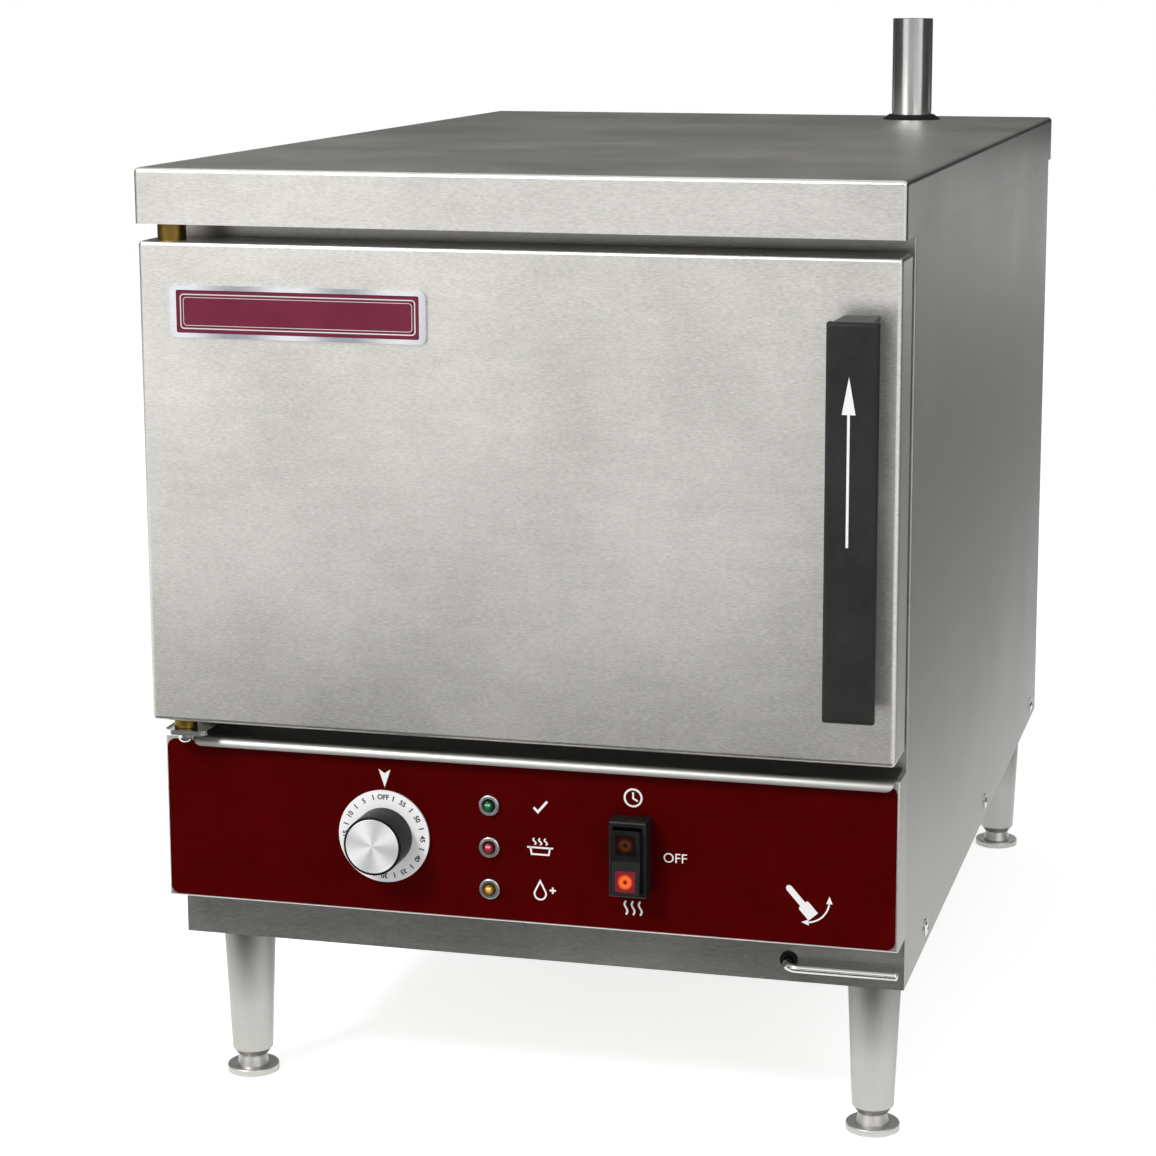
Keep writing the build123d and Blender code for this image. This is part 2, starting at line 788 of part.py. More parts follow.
with BuildPart() as badge_rim:
    add(rounded_plate(badge_width, badge_height, badge_radius, badge_thickness, badge_plane).part)
    with BuildSketch(badge_plane):
        RectangleRounded(plate_width, plate_height, plate_radius)
    extrude(amount=badge_thickness, mode=Mode.SUBTRACT)
save(badge_rim, "badge_rim")


# Hinge

def bracket_plate_outline(plane):
    """Bracket plate: broad at the frame, narrow and round round the pin."""
    tip = -hinge_front - bracket_front
    with BuildSketch(plane) as outline:
        with BuildLine():
            Polyline((hinge_x - bracket_root_left, 0), (hinge_x - bracket_tip_left, tip),
                     (hinge_x - bracket_tip_left + bracket_tip_width, tip), (hinge_x + bracket_root_right,
                         0), close=True)
        make_face()
        fillet(outline.vertices().group_by(Axis.Y)[0], bracket_corner)
    return outline.sketch


with BuildPart() as lower_hinge_bracket:
    add(bracket_plate_outline(level_plane(lower_plate_z)))
    extrude(amount=bracket_plate)
    block((hinge_x - bracket_root_left, hinge_x + bracket_tip_left), (-bracket_plate, 0),
          (lower_plate_z, lower_plate_z + bracket_flange_height))
    rod(level_plane(lower_plate_z, hinge_x, -hinge_front), hinge_pin_radius + hinge_running_gap,
        bracket_plate,
        Mode.SUBTRACT)
save(lower_hinge_bracket, "lower_hinge_bracket")

with BuildPart() as upper_hinge_bracket:
    block((hinge_x - bracket_root_left, hinge_x - bracket_root_left + upper_bracket_width),
          (-hinge_front - upper_bracket_front, 0), (cover_z, cover_z + bracket_plate))
    fillet(upper_hinge_bracket.edges().filter_by(Axis.Z).group_by(Axis.Y)[0], bracket_corner)
    block((hinge_x - bracket_root_left, hinge_x - bracket_root_left + upper_bracket_width),
          (-bracket_plate, 0),
          (cover_z, cover_z + bracket_flange_height))
    rod(level_plane(cover_z, hinge_x, -hinge_front), hinge_pin_radius + hinge_running_gap, bracket_plate,
        Mode.SUBTRACT)
save(upper_hinge_bracket, "upper_hinge_bracket")

with BuildPart() as hinge_pins:
    rod(level_plane(lower_plate_z - pin_nut_reach, hinge_x, -hinge_front), hinge_pin_radius,
        door_z + bush_shank_length - lower_plate_z + pin_nut_reach)
    rod(level_plane(door_top - bush_shank_length, hinge_x, -hinge_front), hinge_pin_radius,
        cover_z + bracket_plate - door_top + bush_shank_length)
    rod(level_plane(cover_z + bracket_plate, hinge_x, -hinge_front), pin_head_radius, pin_head_height)
save(hinge_pins, "hinge_pins")

with BuildPart() as hinge_dome_nut:
    nut_plane = level_plane(lower_plate_z - dome_nut_height, hinge_x, -hinge_front)
    rod(nut_plane, dome_nut_radius, dome_nut_height)
    fillet(hinge_dome_nut.faces().sort_by(Axis.Z)[0].edges(), dome_nut_round)
    rod(level_plane(lower_plate_z - pin_nut_reach - hole_gap, hinge_x, -hinge_front),
        hinge_pin_radius + hinge_running_gap, dome_nut_height, Mode.SUBTRACT)
save(hinge_dome_nut, "hinge_dome_nut")

with BuildPart() as door_bushings:
    rod(level_plane(lower_plate_z + bracket_plate + bush_end_gap, hinge_x, -hinge_front), lower_bush_radius,
        door_z - lower_plate_z - bracket_plate - bush_end_gap)
    rod(level_plane(door_z, hinge_x, -hinge_front), bush_shank_radius, bush_shank_length)
    rod(level_plane(door_top, hinge_x, -hinge_front), upper_bush_radius, door_top_gap - bush_end_gap)
    rod(level_plane(door_top - bush_shank_length, hinge_x, -hinge_front), bush_shank_radius,
        bush_shank_length)
    rod(level_plane(lower_plate_z, hinge_x, -hinge_front), hinge_pin_radius + hinge_running_gap,
        2 * door_height,
        Mode.SUBTRACT)
save(door_bushings, "door_bushings")


# Handle and latch

with BuildPart() as door_handle:
    grip_front = -handle_reach
    grip_back = -door_front - handle_gap
    front_half = handle_width / 2
    body_half = handle_body_width / 2
    back_half = handle_back_width / 2
    plate_back = grip_front + handle_plate
    with BuildSketch(front_plane(plate_back)):
        with Locations((handle_x, handle_z + handle_length / 2)):
            RectangleRounded(handle_width, handle_length, handle_tip_edge)
    extrude(amount=handle_plate)
    long_edges = door_handle.faces().sort_by(Axis.Y)[0].edges().filter_by(Axis.Z)
    fillet(long_edges, handle_edge)
    with BuildSketch(level_plane(handle_z + handle_wall_lift)):
        with BuildLine():
            Polyline((handle_x - body_half, plate_back), (handle_x + body_half, plate_back),
                     (handle_x + back_half, grip_back), (handle_x - back_half, grip_back), close=True)
        make_face()
    extrude(amount=handle_length - handle_wall_lift)
    with BuildSketch(level_plane(handle_z + handle_wall_lift)):
        with BuildLine():
            Polyline((handle_x - body_half + handle_wall, grip_front + handle_wall),
                     (handle_x + body_half - handle_wall, grip_front + handle_wall),
                     (handle_x + back_half - handle_wall, grip_back),
                     (handle_x - back_half + handle_wall, grip_back), close=True)
        make_face()
    extrude(amount=handle_length - handle_wall_lift - handle_wall, mode=Mode.SUBTRACT)
save(door_handle, "door_handle")

with BuildPart() as latch_slide:
    bar_left = hook_x - latch_bar_width / 2
    block((bar_left, bar_left + latch_bar_width), (bar_front, bar_front + latch_bar_thickness),
          (post_places[0] - latch_bar_margin, post_places[1] + latch_bar_margin))
    for post_z in post_places:
        rod(front_plane(bar_front, hook_x, post_z), post_radius, bar_front + handle_reach - handle_wall)
    hook_side = hook_x - hook_thickness / 2
    nose_front = striker_depth + striker_radius + striker_gap
    block((hook_side, hook_side + hook_thickness), (bar_front, nose_front + hook_nose_thickness),
          (hook_z, hook_z + hook_depth))
    block((hook_side, hook_side + hook_thickness), (nose_front, nose_front + hook_nose_thickness),
          (hook_z - hook_nose, hook_z + hook_depth))
save(latch_slide, "latch_slide")

with BuildPart() as latch_striker:
    cheek_inner = striker_width / 2
    for side in (-1, 1):
        cheek_x = sorted((hook_x + side * cheek_inner, hook_x + side * (cheek_inner + striker_cheek)))
        block(cheek_x, (sheet, striker_depth + striker_radius + striker_rear_margin),
              (striker_z - striker_margin, striker_z + striker_margin))
    rod(side_plane(hook_x - cheek_inner, striker_depth, striker_z), striker_radius, striker_width)
save(latch_striker, "latch_striker")


# Drip tray under the door

with BuildPart() as drip_tray:
    tray_top = fascia_top + tray_sheet
    tray_x = (tray_left_inset - tray_right_inset) / 2
    tray_width = body_width - tray_left_inset - tray_right_inset
    with BuildSketch(side_plane(-half + tray_left_inset)):
        with BuildLine():
            FilletPolyline((0, tray_top), (-tray_front, tray_top), (-tray_front, tray_top - tray_lip_drop),
                           radius=tray_bend)
            offset(amount=tray_sheet, side=Side.LEFT)
        make_face()
    extrude(amount=tray_width)
    with BuildSketch(front_plane(0)):
        with Locations((tray_x, tray_top)):
            RectangleRounded(tray_width, 2 * tray_lip_drop, tray_corner)
    extrude(amount=tray_front, mode=Mode.INTERSECT)
save(drip_tray, "drip_tray")


# Control fascia

with BuildPart() as control_fascia:
    block((-half, half), (-fascia_front, 0), (fascia_z, fascia_top))
    fillet(control_fascia.faces().sort_by(Axis.Y)[0].edges(), sheet)
    block((-half + sheet, half - sheet), (-fascia_front + sheet, 0), (fascia_z + sheet, fascia_top - sheet),
          Mode.SUBTRACT)
    rod(front_plane(0, timer_x, timer_z), timer_shaft_hole, fascia_front, Mode.SUBTRACT)
    for light_x, light_z in pilot_places:
        rod(front_plane(0, light_x, light_z), pilot_body_radius + pilot_hole_gap, fascia_front,
            Mode.SUBTRACT)
    block((switch_x - switch_cut_x, switch_x + switch_cut_x), (-fascia_front, 0),
          (switch_z - switch_cut_z, switch_z + switch_cut_z), Mode.SUBTRACT)
save(control_fascia, "control_fascia")

with BuildPart() as control_overlay:
    overlay_low = fascia_z + overlay_low_gap
    overlay_high = fascia_top - overlay_top_gap
    with BuildSketch(front_plane(-fascia_front)):
        with Locations((0, (overlay_low + overlay_high) / 2)):
            RectangleRounded(body_width - 2 * overlay_side_gap, overlay_high - overlay_low, overlay_radius)
        with Locations((timer_x, timer_z)):
            Circle(timer_shaft_hole, mode=Mode.SUBTRACT)
        with Locations(*pilot_places):
            Circle(pilot_body_radius + pilot_hole_gap, mode=Mode.SUBTRACT)
        with Locations((switch_x, switch_z)):
            Rectangle(2 * switch_cut_x, 2 * switch_cut_z, mode=Mode.SUBTRACT)
    extrude(amount=overlay_thickness)
save(control_overlay, "control_overlay")

dial_back = overlay_front - dial_gap
knob_back = dial_back - dial_thickness
shaft_end = knob_back - timer_shaft_grip

with BuildPart() as timer_body:
    body_front = -fascia_front + sheet
    block((timer_x - timer_body_size / 2, timer_x + timer_body_size / 2), (body_front,
          body_front + timer_body_length),
          (timer_z - timer_body_size / 2, timer_z + timer_body_size / 2))
    fillet(timer_body.edges().filter_by(Axis.Y), cover_radius)
    rod(front_plane(body_front + timer_shaft_seat + hole_gap, timer_x, timer_z),
        timer_shaft_radius + timer_shaft_gap,
        timer_shaft_seat + hole_gap, Mode.SUBTRACT)
save(timer_body, "timer_body")

with BuildPart() as timer_shaft:
    seat_depth = -fascia_front + sheet + timer_shaft_seat
    rod(front_plane(seat_depth, timer_x, timer_z), timer_shaft_radius, seat_depth - shaft_end)
save(timer_shaft, "timer_shaft")

with BuildPart() as timer_dial:
    rod(front_plane(dial_back, timer_x, timer_z), dial_radius, dial_thickness)
    rod(front_plane(dial_back, timer_x, timer_z), timer_shaft_radius + timer_shaft_gap, dial_thickness,
        Mode.SUBTRACT)
save(timer_dial, "timer_dial")

with BuildPart() as timer_knob:
    cone(front_plane(knob_back, timer_x, timer_z), knob_base_radius, knob_face_radius, knob_height)
    fillet(timer_knob.faces().sort_by(Axis.Y)[0].edges(), knob_edge)
    rod(front_plane(knob_back - knob_height + knob_recess, timer_x, timer_z),
        knob_face_radius - knob_ring_width,
        knob_recess, Mode.SUBTRACT)
    rod(front_plane(knob_back, timer_x, timer_z), timer_shaft_radius + timer_shaft_gap, timer_shaft_grip,
        Mode.SUBTRACT)
save(timer_knob, "timer_knob")


def pilot_bezel(light_x, light_z):
    """Lamp holder: round rim in front of the overlay, body behind it, seat for the lens."""
    rod(front_plane(overlay_front, light_x, light_z), pilot_bezel_radius, pilot_bezel_height)
    rod(front_plane(overlay_front + pilot_body_length, light_x, light_z), pilot_body_radius,
        pilot_body_length)


with BuildPart() as pilot_bezels:
    for light_x, light_z in pilot_places:
        pilot_bezel(light_x, light_z)
    fillet(pilot_bezels.faces().filter_by(Axis.Y).group_by(Axis.Y)[0].edges(), pilot_bezel_edge)
    for light_x, light_z in pilot_places:
        rod(front_plane(overlay_front - pilot_bezel_height + pilot_lens_seat, light_x, light_z),
            pilot_lens_radius + pilot_lens_gap, pilot_lens_seat, Mode.SUBTRACT)
        cone(front_plane(overlay_front - pilot_bezel_height + pilot_cone_depth, light_x, light_z),
             pilot_lens_radius + pilot_lens_gap, pilot_lens_radius + pilot_cone_width, pilot_cone_depth,
             Mode.SUBTRACT)
save(pilot_bezels, "pilot_bezels")


def pilot_lens(light_x, light_z):
    """Round lens with a domed face."""
    lens_back = overlay_front - pilot_bezel_height + pilot_lens_seat
    with BuildPart() as lens:
        rod(front_plane(lens_back, light_x, light_z), pilot_lens_radius, pilot_lens_seat + pilot_lens_rise)
        fillet(lens.faces().sort_by(Axis.Y)[0].edges(), pilot_lens_rise)
    return lens


for lens_name, lens_place in zip(("ready_lens", "cooking_lens", "water_lens"), pilot_places):
    save(pilot_lens(*lens_place), lens_name)

with BuildPart() as switch_housing:
    block((switch_x - switch_width / 2, switch_x + switch_width / 2), (overlay_front - switch_reach,
          overlay_front),
          (switch_z - switch_height / 2, switch_z + switch_height / 2))
    fillet(switch_housing.faces().sort_by(Axis.Y)[0].edges(), sheet)
    block((switch_x - switch_cut_x + hole_gap, switch_x + switch_cut_x - hole_gap),
          (overlay_front, overlay_front + switch_body_length),
          (switch_z - switch_cut_z + hole_gap, switch_z + switch_cut_z - hole_gap))
    block((switch_x - rocker_half_width - rocker_gap, switch_x + rocker_half_width + rocker_gap),
          (overlay_front - switch_reach, overlay_front - switch_reach + switch_well),
          (switch_z - rocker_half_length - rocker_gap,
           switch_z + rocker_half_length + rocker_gap), Mode.SUBTRACT)
    for side in (-1, 1):
        pin_x = switch_x + side * rocker_half_width
        rod(side_plane(min(pin_x, pin_x + side * (rocker_pin_reach + rocker_gap)), rocker_pivot, switch_z),
            rocker_pin_radius + rocker_pin_gap, rocker_pin_reach + rocker_gap, Mode.SUBTRACT)
save(switch_housing, "switch_housing")

with BuildPart() as switch_rocker:
    with BuildSketch(side_plane(switch_x - rocker_half_width)):
        with BuildLine():
            rim_depth = rocker_pivot - rocker_crown - rocker_half_length * tan(radians(rocker_tilt))
            heel_height = rocker_half_length - rocker_heel
            Polyline((rocker_pivot - rocker_crown, switch_z), (rim_depth, switch_z + rocker_half_length),
                     (rocker_pivot + rocker_back, switch_z + heel_height),
                     (rocker_pivot + rocker_back, switch_z - heel_height),
                     (rim_depth, switch_z - rocker_half_length), close=True)
        make_face()
    extrude(amount=2 * rocker_half_width)
    rod(side_plane(switch_x - rocker_half_width - rocker_pin_reach, rocker_pivot, switch_z),
        rocker_pin_radius,
        2 * (rocker_half_width + rocker_pin_reach))
save(switch_rocker, "switch_rocker")


# Drain lever, valve and pipes

with BuildPart() as drain_lever:
    rod_back = front_y + valve_depth - valve_length / 2 - stem_length
    rod_front = front_y - lever_reach
    with BuildLine() as lever_path:
        FilletPolyline((drain_x, rod_back, drain_z), (drain_x, rod_front, drain_z),
                       (half - lever_end_inset, rod_front, drain_z), radius=lever_bend)
    with BuildSketch(Plane(origin=lever_path.line @ 0, z_dir=lever_path.line % 0)):
        Circle(lever_rod_radius)
    sweep(path=lever_path.line)
    fillet(drain_lever.faces().sort_by(Axis.X)[-1].edges(), lever_end_round)
save(drain_lever, "drain_lever")

with BuildPart() as lever_grommet:
    rod(front_plane(sheet + grommet_lip, drain_x, drain_z), grommet_groove_radius, sheet + 2 * grommet_lip)
    rod(front_plane(0, drain_x, drain_z), grommet_outer_radius, grommet_lip)
    rod(front_plane(sheet + grommet_lip, drain_x, drain_z), grommet_outer_radius, grommet_lip)
    rod(front_plane(sheet + 2 * grommet_lip, drain_x, drain_z), lever_rod_radius + grommet_gap,
        sheet + 4 * grommet_lip, Mode.SUBTRACT)
save(lever_grommet, "lever_grommet")

valve_half = valve_size / 2
pipe_bore = pipe_radius - pipe_wall

with BuildPart() as valve_body:
    block((drain_x - valve_half, drain_x + valve_half), (valve_depth - valve_length / 2,
          valve_depth + valve_length / 2),
          (drain_z - valve_low_half, drain_z + valve_half))
    fillet(valve_body.edges().filter_by(Axis.Y).group_by(Axis.Z)[-1], cover_radius)
    with Locations((drain_x, front_y + valve_depth, drain_z)):
        Sphere(ball_radius + ball_gap, mode=Mode.SUBTRACT)
    rod(front_plane(valve_depth, drain_x, drain_z), stem_radius + stem_gap, valve_length, Mode.SUBTRACT)
    rod(front_plane(valve_depth + valve_length, drain_x, drain_z), pipe_bore, valve_length, Mode.SUBTRACT)
    rod(side_plane(drain_x - valve_size, valve_depth, drain_z), pipe_bore, valve_size, Mode.SUBTRACT)
save(valve_body, "valve_body")

with BuildPart() as valve_ball:
    with Locations((drain_x, front_y + valve_depth, drain_z)):
        Sphere(ball_radius)
    rod(front_plane(valve_depth, drain_x, drain_z), stem_radius, valve_length / 2 + stem_length)
    rod(front_plane(valve_depth + ball_radius, drain_x, drain_z), ball_port_radius, ball_radius,
        Mode.SUBTRACT)
    rod(level_plane(drain_z - ball_radius, drain_x, valve_depth), ball_port_radius, ball_radius,
        Mode.SUBTRACT)
save(valve_ball, "valve_ball")


def pipe_along(points, bend, outer, inner):
    """Round pipe along straight runs joined by bends."""
    with BuildPart() as pipe:
        with BuildLine() as route:
            FilletPolyline(*points, radius=bend)
        start = Plane(origin=route.line @ 0, z_dir=route.line % 0)
        with BuildSketch(start):
            Circle(outer)
            Circle(inner, mode=Mode.SUBTRACT)
        sweep(path=route.line)
    return pipe


valve_y = front_y + valve_depth
inlet_route = [(drain_inlet_x, valve_y, chamber_floor - sheet), (drain_inlet_x, valve_y, drain_z),
               (drain_x - valve_half, valve_y, drain_z)]
save(pipe_along(inlet_route, pipe_bend, pipe_radius, pipe_bore), "drain_inlet_pipe")

with BuildPart() as drain_outlet_pipe:
    outlet_start = valve_depth + valve_length / 2
    neck_end = body_depth + sheet + drain_neck_reach
    rod(front_plane(neck_end, drain_x, drain_z), drain_neck_radius, neck_end - outlet_start)
    rod(front_plane(rear_reach, drain_x, drain_z), pipe_radius, rear_reach - neck_end)
    rod(front_plane(rear_reach, drain_x, drain_z), pipe_bore, rear_reach - outlet_start, Mode.SUBTRACT)
save(drain_outlet_pipe, "drain_outlet_pipe")


# Exhaust

exhaust_top = top_z + exhaust_rise
joint_z = top_z - exhaust_joint_drop
neck_top = top_z + collar_height + exhaust_neck_rise

with BuildPart() as exhaust_pipe:
    rod(level_plane(joint_z, exhaust_x, exhaust_depth), exhaust_neck_radius, neck_top - joint_z)
    rod(level_plane(neck_top, exhaust_x, exhaust_depth), exhaust_radius, exhaust_top - neck_top)
    rod(level_plane(joint_z, exhaust_x, exhaust_depth), exhaust_radius - exhaust_wall,
        exhaust_top - joint_z,
        Mode.SUBTRACT)
save(exhaust_pipe, "exhaust_pipe")

vent_route = [(exhaust_x, front_y + chamber_rear, vent_z), (exhaust_x, front_y + exhaust_depth, vent_z),
              (exhaust_x, front_y + exhaust_depth, joint_z)]
save(pipe_along(vent_route, vent_bend, exhaust_neck_radius, exhaust_neck_radius - exhaust_wall),
     "vent_elbow")

with BuildPart() as pipe_collar:
    cone(level_plane(top_z, exhaust_x, exhaust_depth), collar_base_radius, collar_top_radius, collar_height)
    rod(level_plane(top_z, exhaust_x, exhaust_depth), exhaust_neck_radius + collar_gap, collar_height,
        Mode.SUBTRACT)
save(pipe_collar, "pipe_collar")


# Legs and levelling feet

leg_low_z = foot_height + foot_gap


def leg_shape(centre, depth):
    """Tapered leg with a bore for the foot's screw and a stud with its nut inside the base."""
    collar_z = base_z - leg_collar_drop
    cone(level_plane(collar_z, centre, depth), leg_collar_radius, leg_top_radius, leg_collar_drop)
    cone(level_plane(leg_low_z + leg_chamfer_height, centre, depth), leg_low_radius, leg_collar_radius,
         collar_z - leg_low_z - leg_chamfer_height)
    cone(level_plane(leg_low_z, centre, depth), leg_tip_radius, leg_low_radius, leg_chamfer_height)
    rod(level_plane(base_z, centre, depth), stud_radius, stud_length)
    rod(level_plane(base_z + sheet, centre, depth), nut_radius, nut_height)
    rod(level_plane(leg_low_z, centre, depth), foot_screw_radius + foot_screw_gap,
        foot_screw_length + leg_bore_margin,
        Mode.SUBTRACT)


with BuildPart() as legs:
    for leg_name, leg_centre, leg_depth in leg_places:
        leg_shape(leg_centre, leg_depth)
save(legs, "legs")


def levelling_foot(centre, depth):
    """Round foot with a sloping shoulder, a neck and the screw that goes up the leg."""
    with BuildPart() as foot:
        rod(level_plane(0, centre, depth), foot_disc_radius, foot_disc_height)
        fillet(foot.faces().sort_by(Axis.Z)[-1].edges(), foot_edge)
        cone(level_plane(foot_disc_height, centre, depth), foot_shoulder_radius, foot_neck_radius,
             foot_height - foot_disc_height)
        rod(level_plane(foot_height, centre, depth), foot_screw_radius, foot_screw_length)
    return foot


for leg_name, leg_centre, leg_depth in leg_places:
    save(levelling_foot(leg_centre, leg_depth), f"foot_{leg_name}")


# Screws, gland and electrics

def panel_screw(plane):
    """Round-headed screw: the plane lies on the panel and faces out of it."""
    rod(plane, screw_head_radius, screw_head_height)
    with Locations(plane):
        Cylinder(screw_radius, screw_length, align=(Align.CENTER, Align.CENTER, Align.MAX))


with BuildPart() as panel_screws:
    for screw_depth in side_screw_depths:
        panel_screw(side_plane(half, screw_depth, screw_z))
        panel_screw(Plane(origin=(-half, front_y + screw_depth, screw_z), x_dir=(0, 1, 0), z_dir=(-1, 0,
                    0)))
    for side in (-1, 1):
        for screw_level in back_screw_levels:
            screw_origin = (side * (half - back_screw_inset), front_y + body_depth + sheet, screw_level)
            panel_screw(Plane(origin=screw_origin, x_dir=(1, 0, 0), z_dir=(0, 1, 0)))
save(panel_screws, "panel_screws")

with BuildPart() as power_gland:
    gland_z = base_z + gland_rise
    gland_back = body_depth + sheet + gland_reach
    rod(front_plane(gland_back, gland_x, gland_z), gland_radius, gland_reach + sheet + gland_inner_reach)
    with BuildSketch(front_plane(body_depth + sheet + gland_nut_length, gland_x, gland_z)):
        RegularPolygon(gland_nut_radius, 6)
    extrude(amount=gland_nut_length)
    rod(front_plane(gland_back, gland_x, gland_z), gland_bore, gland_reach + sheet + gland_inner_reach,
        Mode.SUBTRACT)
save(power_gland, "power_gland")

with BuildPart() as contactor:
    contactor_low = base_z + sheet
    block((contactor_x, contactor_x + contactor_width), (contactor_depth,
          contactor_depth + contactor_depth_size),
          (contactor_low, contactor_low + contactor_height))
    block((contactor_x - contactor_foot, contactor_x + contactor_width + contactor_foot),
          (contactor_depth, contactor_depth + contactor_depth_size), (contactor_low,
              contactor_low + contactor_foot))
save(contactor, "contactor")
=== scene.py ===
from math import cos, pi, radians, sin, tan

import bmesh
import bpy
from mathutils import Matrix, Vector


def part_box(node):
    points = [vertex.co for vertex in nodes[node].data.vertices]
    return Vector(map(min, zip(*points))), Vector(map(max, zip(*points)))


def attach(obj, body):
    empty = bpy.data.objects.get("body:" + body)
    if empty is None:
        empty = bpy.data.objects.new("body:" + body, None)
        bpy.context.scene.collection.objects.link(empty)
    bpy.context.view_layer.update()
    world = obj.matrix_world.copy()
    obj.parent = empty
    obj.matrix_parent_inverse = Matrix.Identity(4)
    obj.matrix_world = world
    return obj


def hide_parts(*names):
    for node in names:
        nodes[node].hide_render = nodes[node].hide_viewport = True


# Countertop convection steamer: finishes, printed marks, knob face, lamp windows, screws, vent hoods,
# floor, light and camera. X runs right, Y to the back, Z up, in metres, as in the frame.

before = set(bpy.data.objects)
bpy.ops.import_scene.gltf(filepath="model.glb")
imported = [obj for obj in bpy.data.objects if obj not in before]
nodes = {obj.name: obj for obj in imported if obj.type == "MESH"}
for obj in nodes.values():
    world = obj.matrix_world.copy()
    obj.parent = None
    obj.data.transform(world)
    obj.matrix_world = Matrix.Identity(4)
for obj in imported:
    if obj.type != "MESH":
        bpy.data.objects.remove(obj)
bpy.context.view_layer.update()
MM = 0.001
FRONT = -324.0 * MM
BACK_FACE = FRONT + 697.5 * MM
SIDE_FACE = 228.5 * MM


# Node helpers

def feed(tree, value, socket):
    """Links a socket to another one, or gives it a plain value."""
    if isinstance(value, bpy.types.NodeSocket):
        tree.links.new(value, socket)
    else:
        socket.default_value = value


def maths(tree, operation, *values):
    """Result of one operation on plain values or sockets."""
    node = tree.nodes.new("ShaderNodeMath")
    node.operation = operation
    for value, socket in zip(values, node.inputs):
        feed(tree, value, socket)
    return node.outputs[0]


def weighted(tree, *shares):
    """Sum of values, each with its share."""
    total = 0.0
    for value, share in shares:
        total = maths(tree, "MULTIPLY_ADD", value, share, total)
    return total


def vector_of(tree, operation, first, second):
    node = tree.nodes.new("ShaderNodeVectorMath")
    node.operation = operation
    feed(tree, first, node.inputs[0])
    feed(tree, second, node.inputs[1])
    return node.outputs["Value" if operation == "LENGTH" else "Vector"]


def noise(tree, place, scale, detail=3.0, harshness=0.55):
    node = tree.nodes.new("ShaderNodeTexNoise")
    feed(tree, place, node.inputs["Vector"])
    feed(tree, scale, node.inputs["Scale"])
    node.inputs["Detail"].default_value = detail
    node.inputs["Roughness"].default_value = harshness
    return node.outputs[0]


def spread(tree, value, low, high, start=0.0, end=1.0):
    """Takes a value that runs from start to end and lets it run from low to high."""
    node = tree.nodes.new("ShaderNodeMapRange")
    feed(tree, value, node.inputs["Value"])
    for label, amount in (("From Min", start), ("From Max", end), ("To Min", low), ("To Max", high)):
        feed(tree, amount, node.inputs[label])
    return node.outputs["Result"]


def opaque(colour):
    """Gives a plain colour its full alpha, and leaves a socket as it is."""
    return colour if isinstance(colour, bpy.types.NodeSocket) else (*colour, 1.0)


def between(tree, amount, first, second):
    """Colour between two others."""
    node = tree.nodes.new("ShaderNodeMix")
    node.data_type = "RGBA"
    feed(tree, amount, node.inputs[0])
    feed(tree, opaque(first), node.inputs[6])
    feed(tree, opaque(second), node.inputs[7])
    return node.outputs[2]


def parts_of(tree, vector):
    node = tree.nodes.new("ShaderNodeSeparateXYZ")
    feed(tree, vector, node.inputs[0])
    return node.outputs


def between_vectors(tree, amount, first, second):
    """The first vector where the amount is zero, the second where it is one."""
    node = tree.nodes.new("ShaderNodeMix")
    node.data_type = "VECTOR"
    feed(tree, amount, node.inputs[0])
    feed(tree, first, node.inputs[4])
    feed(tree, second, node.inputs[5])
    return node.outputs[1]


def bump(tree, height, strength, distance):
    """Surface normal tilted by a height pattern."""
    node = tree.nodes.new("ShaderNodeBump")
    node.inputs["Strength"].default_value = strength
    node.inputs["Distance"].default_value = distance
    feed(tree, height, node.inputs["Height"])
    return node.outputs["Normal"]


def object_place(tree, centre=(0.0, 0.0, 0.0), scale=(1.0, 1.0, 1.0)):
    """Object coordinates, measured from a centre."""
    source = tree.nodes.new("ShaderNodeTexCoord").outputs["Object"]
    moved = vector_of(tree, "SUBTRACT", source, centre)
    return vector_of(tree, "MULTIPLY", moved, scale)


def effect(name, inputs, outputs):
    """Empty shader node group with named inputs and outputs."""
    group = bpy.data.node_groups.new(name, "ShaderNodeTree")
    for label, kind, value in inputs:
        group.interface.new_socket(label, in_out="INPUT", socket_type=kind).default_value = value
    for label in outputs:
        group.interface.new_socket(label, in_out="OUTPUT", socket_type="NodeSocketFloat")
    return group, group.nodes.new("NodeGroupInput").outputs, group.nodes.new("NodeGroupOutput").inputs


def place_effect(tree, group, **values):
    node = tree.nodes.new("ShaderNodeGroup")
    node.node_tree = group
    for label, value in values.items():
        feed(tree, value, node.inputs[label.replace("_", " ").capitalize()])
    return node.outputs


# Effects that several finishes share

def make_brush_grain():
    """Scratches of a belt grinder: fine dashes, broader bands and cloudy smudges."""
    group, given, result = effect(
        "brush grain",
        [("Place", "NodeSocketVector", (0, 0, 0)), ("Stretch", "NodeSocketVector", (130, 1100, 1100))],
        ["Lines", "Bands", "Smudges"])
    stretched = vector_of(group, "MULTIPLY", given["Place"], given["Stretch"])
    fine = noise(group, stretched, 1.0, 3.0, 0.7)
    broad = noise(group, stretched, 0.14, 3.0, 0.6)
    cloudy = noise(group, given["Place"], 9.0, 5.0, 0.6)
    group.links.new(spread(group, fine, 0.0, 1.0, 0.28, 0.72), result["Lines"])
    group.links.new(spread(group, broad, 0.0, 1.0, 0.3, 0.7), result["Bands"])
    group.links.new(spread(group, cloudy, 0.0, 1.0, 0.3, 0.7), result["Smudges"])
    return group


